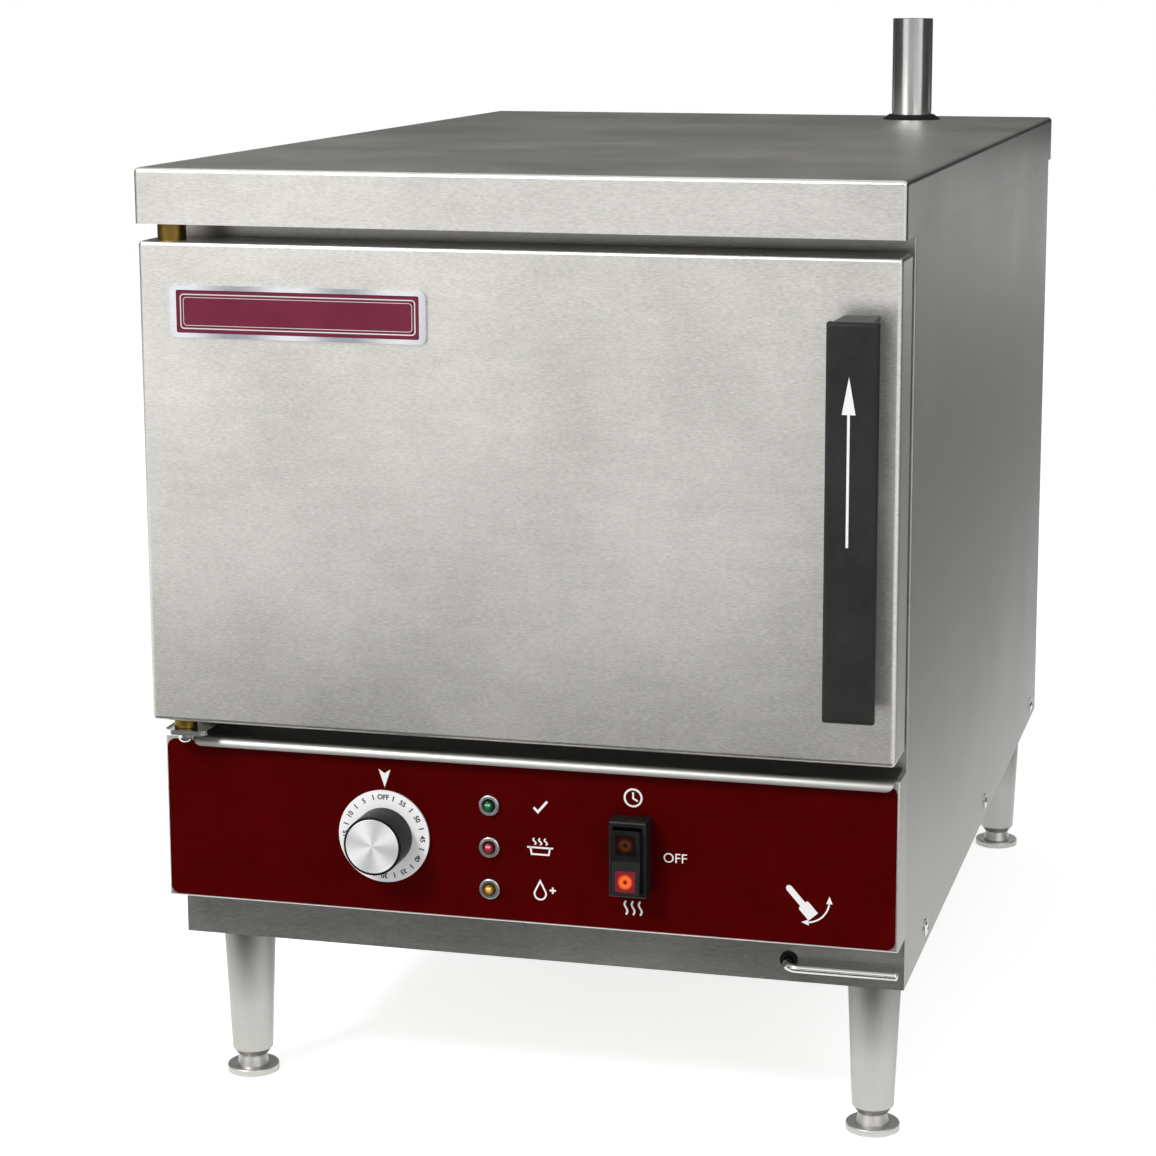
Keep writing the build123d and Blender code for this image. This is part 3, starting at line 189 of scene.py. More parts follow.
def make_moulded_skin():
    """Fine spark-eroded texture of a moulding, with faint handling marks."""
    group, given, result = effect(
        "moulded skin",
        [("Place", "NodeSocketVector", (0, 0, 0)), ("Texture scale", "NodeSocketFloat", 1800.0)],
        ["Texture", "Handling"])
    group.links.new(noise(group, given["Place"], given["Texture scale"], 2.0, 0.6), result["Texture"])
    marks = noise(group, given["Place"], 34.0, 4.0, 0.65)
    group.links.new(spread(group, marks, 0.0, 1.0, 0.35, 0.68), result["Handling"])
    return group


BRUSH_GRAIN = make_brush_grain()
MOULDED_SKIN = make_moulded_skin()


def finish(name, metal=0.0):
    """New material: its tree and the inputs of its surface shader."""
    material = bpy.data.materials.new(name)
    material.use_nodes = True
    tree = material.node_tree
    skin = tree.nodes["Principled BSDF"].inputs
    skin["Metallic"].default_value = metal
    return material, tree, skin


def brushed_steel(name, stretch, dark, light, roughness=(0.3, 0.42), depth=0.12, side=None):
    """Stainless sheet: the grain runs the way in which the stretch is small.
    side gives stretch, dark and light for the faces that look left or right; their darker colours are painted
    shade."""
    material, tree, skin = finish(name, metal=1.0)
    if side:
        facing = parts_of(tree, tree.nodes.new("ShaderNodeTexCoord").outputs["Normal"])["X"]
        sideways = maths(tree, "GREATER_THAN", maths(tree, "ABSOLUTE", facing), 0.75)
        stretch = between_vectors(tree, sideways, stretch, side[0])
        dark = between(tree, sideways, dark, side[1])
        light = between(tree, sideways, light, side[2])
    grain = place_effect(tree, BRUSH_GRAIN, place=object_place(tree), stretch=stretch)
    mixed = weighted(tree, (grain["Bands"], 0.1), (grain["Lines"], 0.52), (grain["Smudges"], 0.38))
    feed(tree, between(tree, mixed, dark, light), skin["Base Color"])
    uneven = weighted(tree, (grain["Lines"], 0.5), (grain["Smudges"], 0.5))
    feed(tree, spread(tree, uneven, *roughness), skin["Roughness"])
    feed(tree, bump(tree, grain["Lines"], depth, 0.0002), skin["Normal"])
    return material


def plain_metal(name, colour, roughness, tint=0.9, stretch=(160, 160, 160), depth=0.05):
    """Turned, plated or polished metal with faint marks."""
    material, tree, skin = finish(name, metal=1.0)
    grain = place_effect(tree, BRUSH_GRAIN, place=object_place(tree), stretch=stretch)
    worn = tuple(part * tint for part in colour)
    feed(tree, between(tree, grain["Bands"], worn, colour), skin["Base Color"])
    feed(tree, spread(tree, grain["Smudges"], roughness * 0.8, roughness * 1.25), skin["Roughness"])
    feed(tree, bump(tree, grain["Lines"], depth, 0.0002), skin["Normal"])
    return material


def drawn_tube(name, node, colour, shade, roughness):
    """Tube with lengthwise streaks: die marks, which also stand in for painted reflection stripes."""
    material, tree, skin = finish(name, metal=1.0)
    parts = parts_of(tree, object_place(tree, tuple(middle(node))))
    turn = maths(tree, "ARCTAN2", parts["X"], parts["Y"])
    streak_place = tree.nodes.new("ShaderNodeCombineXYZ")
    feed(tree, maths(tree, "COSINE", turn), streak_place.inputs["X"])
    feed(tree, maths(tree, "SINE", turn), streak_place.inputs["Y"])
    feed(tree, maths(tree, "MULTIPLY", parts["Z"], 0.7), streak_place.inputs["Z"])
    # lighter and darker lengthwise streaks round the tube: die marks and painted reflection stripes
    streaks = noise(tree, streak_place.outputs[0], 5.0, 5.0, 0.7)
    mixed = spread(tree, streaks, 0.0, 1.0, 0.3, 0.7)
    feed(tree, between(tree, mixed, shade, colour), skin["Base Color"])
    feed(tree, spread(tree, mixed, roughness * 1.2, roughness * 0.85), skin["Roughness"])
    feed(tree, bump(tree, streaks, 0.03, 0.0002), skin["Normal"])
    return material


def badge_frame():
    """Polished rim of the badge, with painted reflections: soft light and grey reaches along it, lighter
    towards its top.
    """
    material, tree, skin = finish("badge frame", metal=1.0)
    parts = parts_of(tree, object_place(tree, tuple(middle("badge_rim"))))
    # painted reflection: a wave along the rim and a rise towards its top; the scratches below are real marks
    wave = maths(tree, "COSINE", maths(tree, "MULTIPLY_ADD", parts["X"], 92.0, 0.4))
    painted_reflection = maths(tree, "MULTIPLY_ADD", parts["Z"], 14.0, wave)
    scratches = noise(tree, object_place(tree, scale=(240.0, 1.0, 1500.0)), 1.0, 3.0, 0.6)
    mixed = maths(tree, "MULTIPLY_ADD", scratches, 0.3, spread(tree, painted_reflection, 0.0, 0.7, -1.0, 1.0))
    feed(tree, between(tree, mixed, (0.22, 0.23, 0.26), (0.8, 0.81, 0.84)), skin["Base Color"])
    feed(tree, spread(tree, scratches, 0.16, 0.3), skin["Roughness"])
    feed(tree, bump(tree, scratches, 0.05, 0.0001), skin["Normal"])
    return material


def leg_tube():
    """Brushed leg: cross-hatched fine grain, with painted shade that darkens it towards its top, under the
    body.
    """
    material, tree, skin = finish("brushed leg steel", metal=1.0)
    place = object_place(tree)
    low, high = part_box("legs")
    hatch = noise(tree, vector_of(tree, "MULTIPLY", place, (300.0, 300.0, 2200.0)), 1.0, 3.0, 0.7)
    drawn = noise(tree, vector_of(tree, "MULTIPLY", place, (1500.0, 1500.0, 40.0)), 1.0, 3.0, 0.7)
    grain = weighted(tree, (drawn, 0.5), (hatch, 0.5))
    # painted shade: light over the lower third of the leg, darkening to the dark colour at its top, under the
    # body
    unshaded_share = spread(tree, parts_of(tree, place)["Z"], 1.0, 0.0, low.z + 0.35 * (high.z - low.z), high.z)
    mixed = weighted(tree, (unshaded_share, 0.8), (grain, 0.3))
    feed(tree, between(tree, mixed, (0.07, 0.069, 0.066), (0.46, 0.455, 0.433)), skin["Base Color"])
    feed(tree, spread(tree, grain, 0.3, 0.42), skin["Roughness"])
    feed(tree, bump(tree, grain, 0.12, 0.0002), skin["Normal"])
    return material


def tray_sheet():
    """Tray steel: light at its lip, with painted shade that darkens it towards the back, under the door."""
    material, tree, skin = finish("tray steel", metal=1.0)
    grain = place_effect(tree, BRUSH_GRAIN, place=object_place(tree), stretch=ALONG_X)
    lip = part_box("drip_tray")[0].y
    depth = parts_of(tree, object_place(tree))["Y"]
    # painted shade: light at the lip, dark from 9 mm behind it, under the door
    unshaded_share = spread(tree, depth, 1.0, 0.0, lip + 0.4 * MM, lip + 9.0 * MM)
    mixed = weighted(tree, (unshaded_share, 0.9), (grain["Lines"], 0.12))
    feed(tree, between(tree, mixed, (0.04, 0.04, 0.038), (0.43, 0.424, 0.405)), skin["Base Color"])
    feed(tree, spread(tree, grain["Smudges"], 0.4, 0.5), skin["Roughness"])
    feed(tree, bump(tree, grain["Lines"], 0.1, 0.0002), skin["Normal"])
    return material


def moulding(name, colour, roughness, texture_scale=1800.0, depth=0.15, shine=0.5, lighter=1.35):
    """Moulded plastic or rubber."""
    material, tree, skin = finish(name)
    marks = place_effect(tree, MOULDED_SKIN, place=object_place(tree), texture_scale=texture_scale)
    pale = tuple(min(1.0, part * lighter + 0.004) for part in colour)
    feed(tree, between(tree, marks["Handling"], colour, pale), skin["Base Color"])
    feed(tree, spread(tree, marks["Handling"], roughness * 0.88, roughness * 1.15), skin["Roughness"])
    feed(tree, bump(tree, marks["Texture"], depth, 0.0001), skin["Normal"])
    skin["Specular IOR Level"].default_value = shine
    return material


def fibre_felt(name, colour, shadow):
    """Ceramic fibre blanket: tangled short fibres and soft lumps."""
    material, tree, skin = finish(name)
    place = object_place(tree)
    fibres = noise(tree, vector_of(tree, "MULTIPLY", place, (1.0, 0.35, 1.0)), 900.0, 6.0, 0.8)
    lumps = noise(tree, place, 45.0, 3.0, 0.5)
    mixed = weighted(tree, (lumps, 0.4), (fibres, 0.6))
    tangle = spread(tree, mixed, 0.0, 1.0, 0.35, 0.62)
    feed(tree, between(tree, tangle, shadow, colour), skin["Base Color"])
    feed(tree, bump(tree, mixed, 0.6, 0.002), skin["Normal"])
    skin["Roughness"].default_value = 0.95
    skin["Sheen Weight"].default_value = 0.3
    return material


def printed_film():
    """Maroon print under a clear textured film."""
    material, tree, skin = finish("overlay film")
    marks = place_effect(tree, MOULDED_SKIN, place=object_place(tree), texture_scale=2600.0)
    feed(tree, between(tree, marks["Handling"], (0.058, 0.0, 0.0), (0.07, 0.0, 0.0002)), skin["Base Color"])
    feed(tree, spread(tree, marks["Handling"], 0.36, 0.5), skin["Roughness"])
    feed(tree, bump(tree, marks["Texture"], 0.08, 0.0001), skin["Normal"])
    skin["Specular IOR Level"].default_value = 0.02
    return material


def badge_enamel():
    """Maroon enamel with a fine metallic sparkle."""
    material, tree, skin = finish("badge enamel")
    place = object_place(tree)
    sparkle = noise(tree, place, 5200.0, 1.0, 0.5)
    drift = noise(tree, place, 60.0, 2.0, 0.5)
    mixed = weighted(tree, (drift, 0.4), (sparkle, 0.6))
    glitter = spread(tree, mixed, 0.0, 1.0, 0.35, 0.65)
    feed(tree, between(tree, glitter, (0.125, 0.011, 0.03), (0.165, 0.019, 0.045)), skin["Base Color"])
    feed(tree, spread(tree, drift, 0.3, 0.42), skin["Roughness"])
    skin["Specular IOR Level"].default_value = 0.15
    return material


def paint_mark(name, colour, grit=0.12):
    """Screen-printed ink with a slightly uneven film."""
    material, tree, skin = finish(name)
    ink = noise(tree, object_place(tree), 1500.0, 3.0, 0.6)
    thin = tuple(part * (1.0 - grit) for part in colour)
    cover = spread(tree, ink, 0.0, 1.0, 0.35, 0.65)
    feed(tree, between(tree, cover, thin, colour), skin["Base Color"])
    feed(tree, spread(tree, ink, 0.4, 0.55), skin["Roughness"])
    return material


def around(tree, centre):
    """Distance from an axis that runs front to back, and the angle about it."""
    place = object_place(tree, centre, (1.0, 0.0, 1.0))
    parts = parts_of(tree, place)
    return vector_of(tree, "LENGTH", place, (0, 0, 0)), maths(tree, "ARCTAN2", parts["X"], parts["Z"])


def turned_face(name, centre, dark, light, wedges, phase, roughness, metal):
    """Face spun on a lathe: fine rings, and soft wedges of painted highlight across them."""
    material, tree, skin = finish(name, metal)
    distance, angle = around(tree, centre)
    rings = tree.nodes.new("ShaderNodeCombineXYZ")
    feed(tree, distance, rings.inputs["X"])
    groove = noise(tree, rings.outputs[0], 9000.0, 3.0, 0.7)
    # painted highlights: wedges of light and dark by the angle round the face
    wedge = maths(tree, "COSINE", maths(tree, "MULTIPLY_ADD", angle, float(wedges), phase))
    slow = maths(tree, "COSINE", maths(tree, "ADD", angle, phase * 0.4))
    wedge = maths(tree, "MULTIPLY_ADD", slow, 0.35, wedge)
    mixed = maths(tree, "MULTIPLY_ADD", groove, 0.45, spread(tree, wedge, 0.0, 0.75, -1.2, 1.2))
    feed(tree, between(tree, mixed, dark, light), skin["Base Color"])
    feed(tree, spread(tree, groove, roughness * 0.85, roughness * 1.2), skin["Roughness"])
    feed(tree, bump(tree, groove, 0.12, 0.0001), skin["Normal"])
    return material


def pilot_glass(name, centre, deep, bright, glow):
    """Moulded jewel lens: deep colour at its rim, and two painted highlights a little above its middle."""
    material, tree, skin = finish(name)
    distance, angle = around(tree, centre)
    facets = maths(tree, "MULTIPLY", maths(tree, "COSINE", maths(tree, "MULTIPLY", angle, 10.0)), 0.08)
    inward = spread(tree, distance, 1.0, 0.0, 0.6 * MM, 2.7 * MM)
    colour = between(tree, maths(tree, "ADD", inward, facets), deep, bright)
    # painted highlights: two pale spots, one either side, a little above the middle of the lens
    spots = 0.0
    for across in (-0.9, 0.7):
        away = around(tree, (centre[0] + across * MM, 0.0, centre[2] + 0.9 * MM))[0]
        spots = maths(tree, "MAXIMUM", spread(tree, away, 1.0, 0.0, 0.1 * MM, 1.0 * MM), spots)
    pale = tuple(min(1.0, part * 1.2 + 0.45) for part in bright)
    colour = between(tree, spots, colour, pale)
    feed(tree, colour, skin["Base Color"])
    feed(tree, colour, skin["Emission Color"])
    skin["Emission Strength"].default_value = glow
    skin["Roughness"].default_value = 0.12
    skin["Specular IOR Level"].default_value = 0.3
    return material


def lamp_window(name, centre, edge, middle_glow, core, glow):
    """Rocker window with the ring-shaped lamp behind it."""
    material, tree, skin = finish(name)
    distance = around(tree, centre)[0]
    marks = place_effect(tree, MOULDED_SKIN, place=object_place(tree), texture_scale=1400.0)
    halo = spread(tree, distance, 1.0, 0.0, 2.0 * MM, 4.8 * MM)
    uneven = maths(tree, "MULTIPLY_ADD", marks["Handling"], 0.1, halo)
    colour = between(tree, uneven, edge, middle_glow)
    dot = spread(tree, distance, 1.0, 0.0, 0.9 * MM, 2.2 * MM)
    colour = between(tree, dot, colour, core)
    feed(tree, colour, skin["Base Color"])
    feed(tree, colour, skin["Emission Color"])
    skin["Emission Strength"].default_value = glow
    skin["Roughness"].default_value = 0.3
    skin["Specular IOR Level"].default_value = 0.1
    return material


# Shape helpers

def on_front(x, y, z):
    """Place on an upright face: local x is right, local y is up and local z comes out of the front."""
    return Matrix(((1, 0, 0, x), (0, 0, -1, y), (0, 1, 0, z), (0, 0, 0, 1)))


def add_piece(name, mesh, material, body):
    mesh.materials.clear()
    mesh.materials.append(material)
    piece = bpy.data.objects.new(name, mesh)
    bpy.context.collection.objects.link(piece)
    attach(piece, body)
    return piece


def mesh_of(shape, name):
    """Plain mesh of a curve, text or modified object, which is then removed."""
    bpy.context.view_layer.update()
    made = shape.evaluated_get(bpy.context.evaluated_depsgraph_get())
    mesh = bpy.data.meshes.new_from_object(made)
    mesh.name = name
    bpy.data.objects.remove(shape)
    return mesh


def middle(name):
    low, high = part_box(name)
    return (low + high) / 2


def lettering(text, size, thickness, weight=0.0):
    """Raised letters about the origin, as a mesh."""
    curve = bpy.data.curves.new(text, "FONT")
    curve.body = text
    curve.size = size
    curve.align_x = "CENTER"
    curve.align_y = "CENTER"
    curve.extrude = thickness / 2
    curve.offset = weight
    letters = bpy.data.objects.new(text, curve)
    bpy.context.collection.objects.link(letters)
    return mesh_of(letters, text)


def band(shape, points, width, thickness, closed=False):
    """Adds a flat ribbon of one width along a line of points."""
    spots = [Vector((x, y)) for x, y in points]
    count = len(spots)
    stations = []
    for index, spot in enumerate(spots):
        before = spots[index - 1] if closed or index else spot
        after = spots[(index + 1) % count] if closed or index + 1 < count else spot
        into = (spot - before).normalized() if spot != before else (after - spot).normalized()
        out = (after - spot).normalized() if after != spot else into
        side = Vector((-(into + out).y, (into + out).x)).normalized()
        reach = width / 2 / max(0.35, side.dot(Vector((-into.y, into.x))))
        corners = [spot + side * reach, spot - side * reach]
        edge = ((corners[0], 0), (corners[1], 0), (corners[1], thickness), (corners[0], thickness))
        stations.append([shape.verts.new((*corner, height)) for corner, height in edge])
    pairs = list(zip(stations, stations[1:])) + ([(stations[-1], stations[0])] if closed else [])
    for first, second in pairs:
        for corner in range(4):
            after = (corner + 1) % 4
            shape.faces.new((first[corner], first[after], second[after], second[corner]))
    if not closed:
        shape.faces.new(stations[0])
        shape.faces.new(reversed(stations[-1]))


def plate(shape, outline, thickness):
    """Adds a flat plate with a straight-sided outline."""
    low = [shape.verts.new((x, y, 0)) for x, y in outline]
    high = [shape.verts.new((x, y, thickness)) for x, y in outline]
    shape.faces.new(list(reversed(low)))
    shape.faces.new(high)
    for index in range(len(outline)):
        after = (index + 1) % len(outline)
        shape.faces.new((low[index], low[after], high[after], high[index]))


def arc(centre, radius, start, end, steps=24):
    """Points on an arc, in degrees, anticlockwise from the right."""
    turns = [radians(start + (end - start) * step / steps) for step in range(steps + 1)]
    return [(centre[0] + radius * cos(turn), centre[1] + radius * sin(turn)) for turn in turns]


def round_box(left, low, right, high, radius, steps=6):
    points = []
    for x, y, start in ((right, high, 0), (left, high, 90), (left, low, 180), (right, low, 270)):
        inner = (x - radius if x == right else x + radius, y - radius if y == high else y + radius)
        points += arc(inner, radius, start, start + 90, steps)
    return points


def shape_mesh(shape, name, place):
    """Closes a shape's work: faces turned outwards, put in its place."""
    bmesh.ops.remove_doubles(shape, verts=shape.verts, dist=1e-7)
    bmesh.ops.recalc_face_normals(shape, faces=shape.faces)
    mesh = bpy.data.meshes.new(name)
    shape.to_mesh(mesh)
    shape.free()
    mesh.transform(place)
    return mesh


def joined(meshes, name):
    """One mesh out of several that already stand in their places."""
    shape = bmesh.new()
    for mesh in meshes:
        shape.from_mesh(mesh)
        bpy.data.meshes.remove(mesh)
    whole = bpy.data.meshes.new(name)
    shape.to_mesh(whole)
    shape.free()
    return whole


# Geometry node trees for what repeats

def new_tree(name, inputs):
    tree = bpy.data.node_groups.new(name, "GeometryNodeTree")
    tree.is_modifier = True
    tree.interface.new_socket("Geometry", in_out="INPUT", socket_type="NodeSocketGeometry")
    for label, kind, value in inputs:
        socket = tree.interface.new_socket(label, in_out="INPUT", socket_type=kind)
        if value is not None:
            socket.default_value = value
    tree.interface.new_socket("Geometry", in_out="OUTPUT", socket_type="NodeSocketGeometry")
    return tree, tree.nodes.new("NodeGroupInput").outputs, tree.nodes.new("NodeGroupOutput").inputs


def step(tree, kind, settings=None, **values):
    """Adds a node, with its settings, and its inputs by name."""
    node = tree.nodes.new(kind)
    for label, value in (settings or {}).items():
        setattr(node, label, value)
    for label, value in values.items():
        feed(tree, value, node.inputs[label.replace("_", " ")])
    return node.outputs


def close_tree(tree, geometry, given, result):
    """Ends a tree: real geometry with its finish on."""
    real = step(tree, "GeometryNodeRealizeInstances", Geometry=geometry)[0]
    dressed = step(tree, "GeometryNodeSetMaterial", Geometry=real, Material=given["Finish"])[0]
    tree.links.new(dressed, result[0])


def grow(tree, seed, name, **values):
    """Runs a tree on a seed mesh and returns the plain mesh that comes out."""
    grown = bpy.data.objects.new(name, seed)
    bpy.context.collection.objects.link(grown)
    modifier = grown.modifiers.new(tree.name, "NODES")
    modifier.node_group = tree
    for item in tree.interface.items_tree:
        key = item.name.lower().replace(" ", "_")
        if item.in_out == "INPUT" and key in values:
            modifier[item.identifier] = values[key]
    return mesh_of(grown, name)


def make_screw_tree():
    """Truss-head screws with a cross recess, one on each seed point, facing along its attribute."""
    tree, given, result = new_tree("panel screws", [
        ("Head radius", "NodeSocketFloat", 0.0055), ("Head height", "NodeSocketFloat", 0.0022),
        ("Recess width", "NodeSocketFloat", 0.0011), ("Recess length", "NodeSocketFloat", 0.0052),
        ("Recess depth", "NodeSocketFloat", 0.0011), ("Shank radius", "NodeSocketFloat", 0.0024),
        ("Shank length", "NodeSocketFloat", 0.007), ("Finish", "NodeSocketMaterial", None)])
    barrel = step(tree, "GeometryNodeMeshCylinder", {"fill_type": "TRIANGLE_FAN"}, Vertices=36,
                  Side_Segments=3, Fill_Segments=8, Radius=given["Head radius"], Depth=given["Head height"])[0]
    place = step(tree, "GeometryNodeInputPosition")[0]
    parts = step(tree, "ShaderNodeSeparateXYZ", Vector=place)
    flat = step(tree, "ShaderNodeCombineXYZ", X=parts["X"], Y=parts["Y"])[0]
    outward = maths(tree, "DIVIDE", vector_of(tree, "LENGTH", flat, (0, 0, 0)), given["Head radius"])
    low = maths(tree, "MULTIPLY", given["Head height"], 0.5)
    rise = maths(tree, "ADD", parts["Z"], low)
    crown = maths(tree, "SUBTRACT", 1.0, maths(tree, "MULTIPLY", maths(tree, "POWER", outward, 2.0), 0.62))
    height = maths(tree, "MULTIPLY", rise, crown)
    domed = step(tree, "ShaderNodeCombineXYZ", X=parts["X"], Y=parts["Y"], Z=height)[0]
    head = step(tree, "GeometryNodeSetPosition", Geometry=barrel, Position=domed)[0]
    cuts = []
    for first, second in (("Recess width", "Recess length"), ("Recess length", "Recess width")):
        size = step(tree, "ShaderNodeCombineXYZ", X=given[first], Y=given[second],
                    Z=maths(tree, "MULTIPLY", given["Recess depth"], 2.0))[0]
        lift = step(tree, "ShaderNodeCombineXYZ", Z=given["Head height"])[0]
        bar = step(tree, "GeometryNodeMeshCube", Size=size)[0]
        cuts.append(step(tree, "GeometryNodeTransform", Geometry=bar, Translation=lift)[0])
    carve = tree.nodes.new("GeometryNodeMeshBoolean")
    carve.operation = "DIFFERENCE"
    tree.links.new(head, carve.inputs["Mesh 1"])
    for bar in cuts:
        tree.links.new(bar, carve.inputs["Mesh 2"])
    shank = step(tree, "GeometryNodeMeshCylinder", Vertices=20, Radius=given["Shank radius"],
                 Depth=given["Shank length"])[0]
    sunk = step(tree, "ShaderNodeCombineXYZ", Z=maths(tree, "MULTIPLY", given["Shank length"], -0.5))[0]
    shank = step(tree, "GeometryNodeTransform", Geometry=shank, Translation=sunk)[0]
    whole = tree.nodes.new("GeometryNodeJoinGeometry")
    tree.links.new(carve.outputs["Mesh"], whole.inputs[0])
    tree.links.new(shank, whole.inputs[0])
    facing = step(tree, "GeometryNodeInputNamedAttribute", {"data_type": "FLOAT_VECTOR"}, Name="facing")[0]
    turned = step(tree, "FunctionNodeAlignRotationToVector", {"axis": "Z"}, Vector=facing)[0]
    points = step(tree, "GeometryNodeMeshToPoints", Mesh=given["Geometry"])[0]
    placed = step(tree, "GeometryNodeInstanceOnPoints", Points=points, Instance=whole.outputs[0],
                  Rotation=turned)[0]
    close_tree(tree, placed, given, result)
    return tree


def make_tick_tree():
    """Ring of short printed lines that point at its middle."""
    tree, given, result = new_tree("dial ticks", [
        ("Count", "NodeSocketInt", 12), ("Ring radius", "NodeSocketFloat", 0.025),
        ("First turn", "NodeSocketFloat", 0.0), ("Tick length", "NodeSocketFloat", 0.0035),
        ("Tick width", "NodeSocketFloat", 0.0006), ("Tick thickness", "NodeSocketFloat", 0.0001),
        ("Finish", "NodeSocketMaterial", None)])
    ring = step(tree, "GeometryNodeMeshCircle", Vertices=given["Count"], Radius=given["Ring radius"])[0]
    points = step(tree, "GeometryNodeMeshToPoints", Mesh=ring)[0]
    size = step(tree, "ShaderNodeCombineXYZ", X=given["Tick length"], Y=given["Tick width"],
                Z=given["Tick thickness"])[0]
    tick = step(tree, "GeometryNodeMeshCube", Size=size)[0]
    share = maths(tree, "DIVIDE", 2 * pi, given["Count"])
    turn = maths(tree, "MULTIPLY", step(tree, "GeometryNodeInputIndex")[0], share)
    spin = step(tree, "ShaderNodeCombineXYZ", Z=turn)[0]
    placed = step(tree, "GeometryNodeInstanceOnPoints", Points=points, Instance=tick, Rotation=spin)[0]
    first = step(tree, "ShaderNodeCombineXYZ", Z=given["First turn"])[0]
    placed = step(tree, "GeometryNodeTransform", Geometry=placed, Rotation=first)[0]
    close_tree(tree, placed, given, result)
    return tree


def make_hood_tree():
    """Column of pressed vent hoods: each bulges out, runs out at its ends and is open below."""
    tree, given, result = new_tree("vent hoods", [
        ("Count", "NodeSocketInt", 7), ("Pitch", "NodeSocketFloat", 0.014),
        ("Hood width", "NodeSocketFloat", 0.066), ("Hood height", "NodeSocketFloat", 0.009),
        ("Reach", "NodeSocketFloat", 0.004), ("Finish", "NodeSocketMaterial", None)])
    sheet = step(tree, "GeometryNodeMeshGrid", Size_X=given["Hood width"], Size_Y=given["Hood height"],
                 Vertices_X=31, Vertices_Y=9)[0]
    parts = step(tree, "ShaderNodeSeparateXYZ", Vector=step(tree, "GeometryNodeInputPosition")[0])
    half = maths(tree, "MULTIPLY", given["Hood width"], 0.5)
    across = maths(tree, "DIVIDE", maths(tree, "ABSOLUTE", parts["X"]), half)
    ends = maths(tree, "SQRT", maths(tree, "SUBTRACT", 1.0, maths(tree, "POWER", across, 6.0)))
    upward = maths(tree, "ADD", maths(tree, "DIVIDE", parts["Y"], given["Hood height"]), 0.5)
    slope = maths(tree, "SQRT", maths(tree, "SUBTRACT", 1.0, maths(tree, "POWER", upward, 2.0)))
    bulge = maths(tree, "MULTIPLY", maths(tree, "MULTIPLY", ends, slope), given["Reach"])
    curved = step(tree, "ShaderNodeCombineXYZ", X=parts["X"], Y=parts["Y"], Z=bulge)[0]
    hood = step(tree, "GeometryNodeSetPosition", Geometry=sheet, Position=curved)[0]
    gap = step(tree, "ShaderNodeCombineXYZ", Y=given["Pitch"])[0]
    column = step(tree, "GeometryNodeMeshLine", Count=given["Count"], Offset=gap)[0]
    placed = step(tree, "GeometryNodeInstanceOnPoints", Points=column, Instance=hood)[0]
    close_tree(tree, placed, given, result)
    return tree


# Finishes of the sheet metal and the other CAD nodes

ALONG_X, ALONG_Y, ALONG_Z = (280, 1400, 1400), (1400, 280, 1400), (1400, 1400, 280)
# The SIDE, COVER_SIDE and DOOR_SIDE colours are painted shade: the same stainless as the front, darker on the
# side and back panels and on faces that look left or right.
FRONT_DARK, FRONT_LIGHT = (0.4, 0.394, 0.372), (0.84, 0.827, 0.787)
SIDE_DARK, SIDE_LIGHT = (0.25, 0.248, 0.234), (0.43, 0.425, 0.404)
SIDE = (ALONG_Z, SIDE_DARK, SIDE_LIGHT)
COVER_SIDE = (ALONG_Y, (0.14, 0.139, 0.132), (0.26, 0.257, 0.245))
DOOR_SIDE = (ALONG_Z, (0.36, 0.356, 0.34), (0.6, 0.594, 0.566))

front_steel = brushed_steel("door brushed steel", ALONG_X, FRONT_DARK, FRONT_LIGHT, side=DOOR_SIDE)
fascia_steel = brushed_steel("fascia brushed steel", ALONG_X, FRONT_DARK, FRONT_LIGHT, side=SIDE)
cover_steel = brushed_steel("cover brushed steel", ALONG_X, (0.45, 0.443, 0.42), (0.82, 0.808, 0.77),
                            (0.3, 0.4), side=COVER_SIDE)
side_steel = brushed_steel("side brushed steel", ALONG_Z, SIDE_DARK, SIDE_LIGHT, (0.34, 0.46))
# Painted shade: the base pan gets darker colours than the door's steel, for the shade low down above the
# floor.
base_steel = brushed_steel("base brushed steel", ALONG_X, (0.24, 0.238, 0.226), (0.46, 0.455, 0.435),
                           (0.34, 0.46), side=SIDE)
# Painted shade: the front frame and upper hinge bracket get darker colours than the door's steel, for the gap
# behind the door.
frame_steel = brushed_steel("frame brushed steel", ALONG_X, (0.3, 0.295, 0.28), (0.5, 0.49, 0.47))
chamber_steel = brushed_steel("chamber mill steel", (300, 300, 300), (0.5, 0.5, 0.49), (0.68, 0.68, 0.67),
                              (0.2, 0.34), 0.05)
leg_steel = leg_tube()
foot_steel = plain_metal("satin foot steel", (0.56, 0.553, 0.53), 0.42, 0.85, (60, 60, 2400), 0.06)
inner_pipe_steel = plain_metal("inner pipe steel", (0.6, 0.6, 0.59), 0.2, 0.85, (300, 300, 6), 0.06)
exhaust_steel = drawn_tube("exhaust pipe steel", "exhaust_pipe", (0.64, 0.64, 0.635), (0.46, 0.46, 0.455),
                           0.18)
tray_steel = tray_sheet()
chrome = plain_metal("bright chrome", (0.72, 0.72, 0.71), 0.14, 0.9)
rim_steel = badge_frame()
rod_steel = plain_metal("lever rod steel", (0.7, 0.7, 0.69), 0.18, 0.8, (60, 900, 900), 0.06)
plated_steel = plain_metal("zinc plated steel", (0.56, 0.57, 0.56), 0.3, 0.8, (90, 90, 90))
bezel_metal = plain_metal("bezel metal", (0.62, 0.62, 0.61), 0.28, 0.75, (700, 700, 700))
brass = plain_metal("satin brass", (0.22, 0.14, 0.032), 0.3, 0.6, (60, 60, 900), 0.1)
fan_aluminium = plain_metal("fan aluminium", (0.6, 0.605, 0.61), 0.36, 0.82, (260, 40, 260))
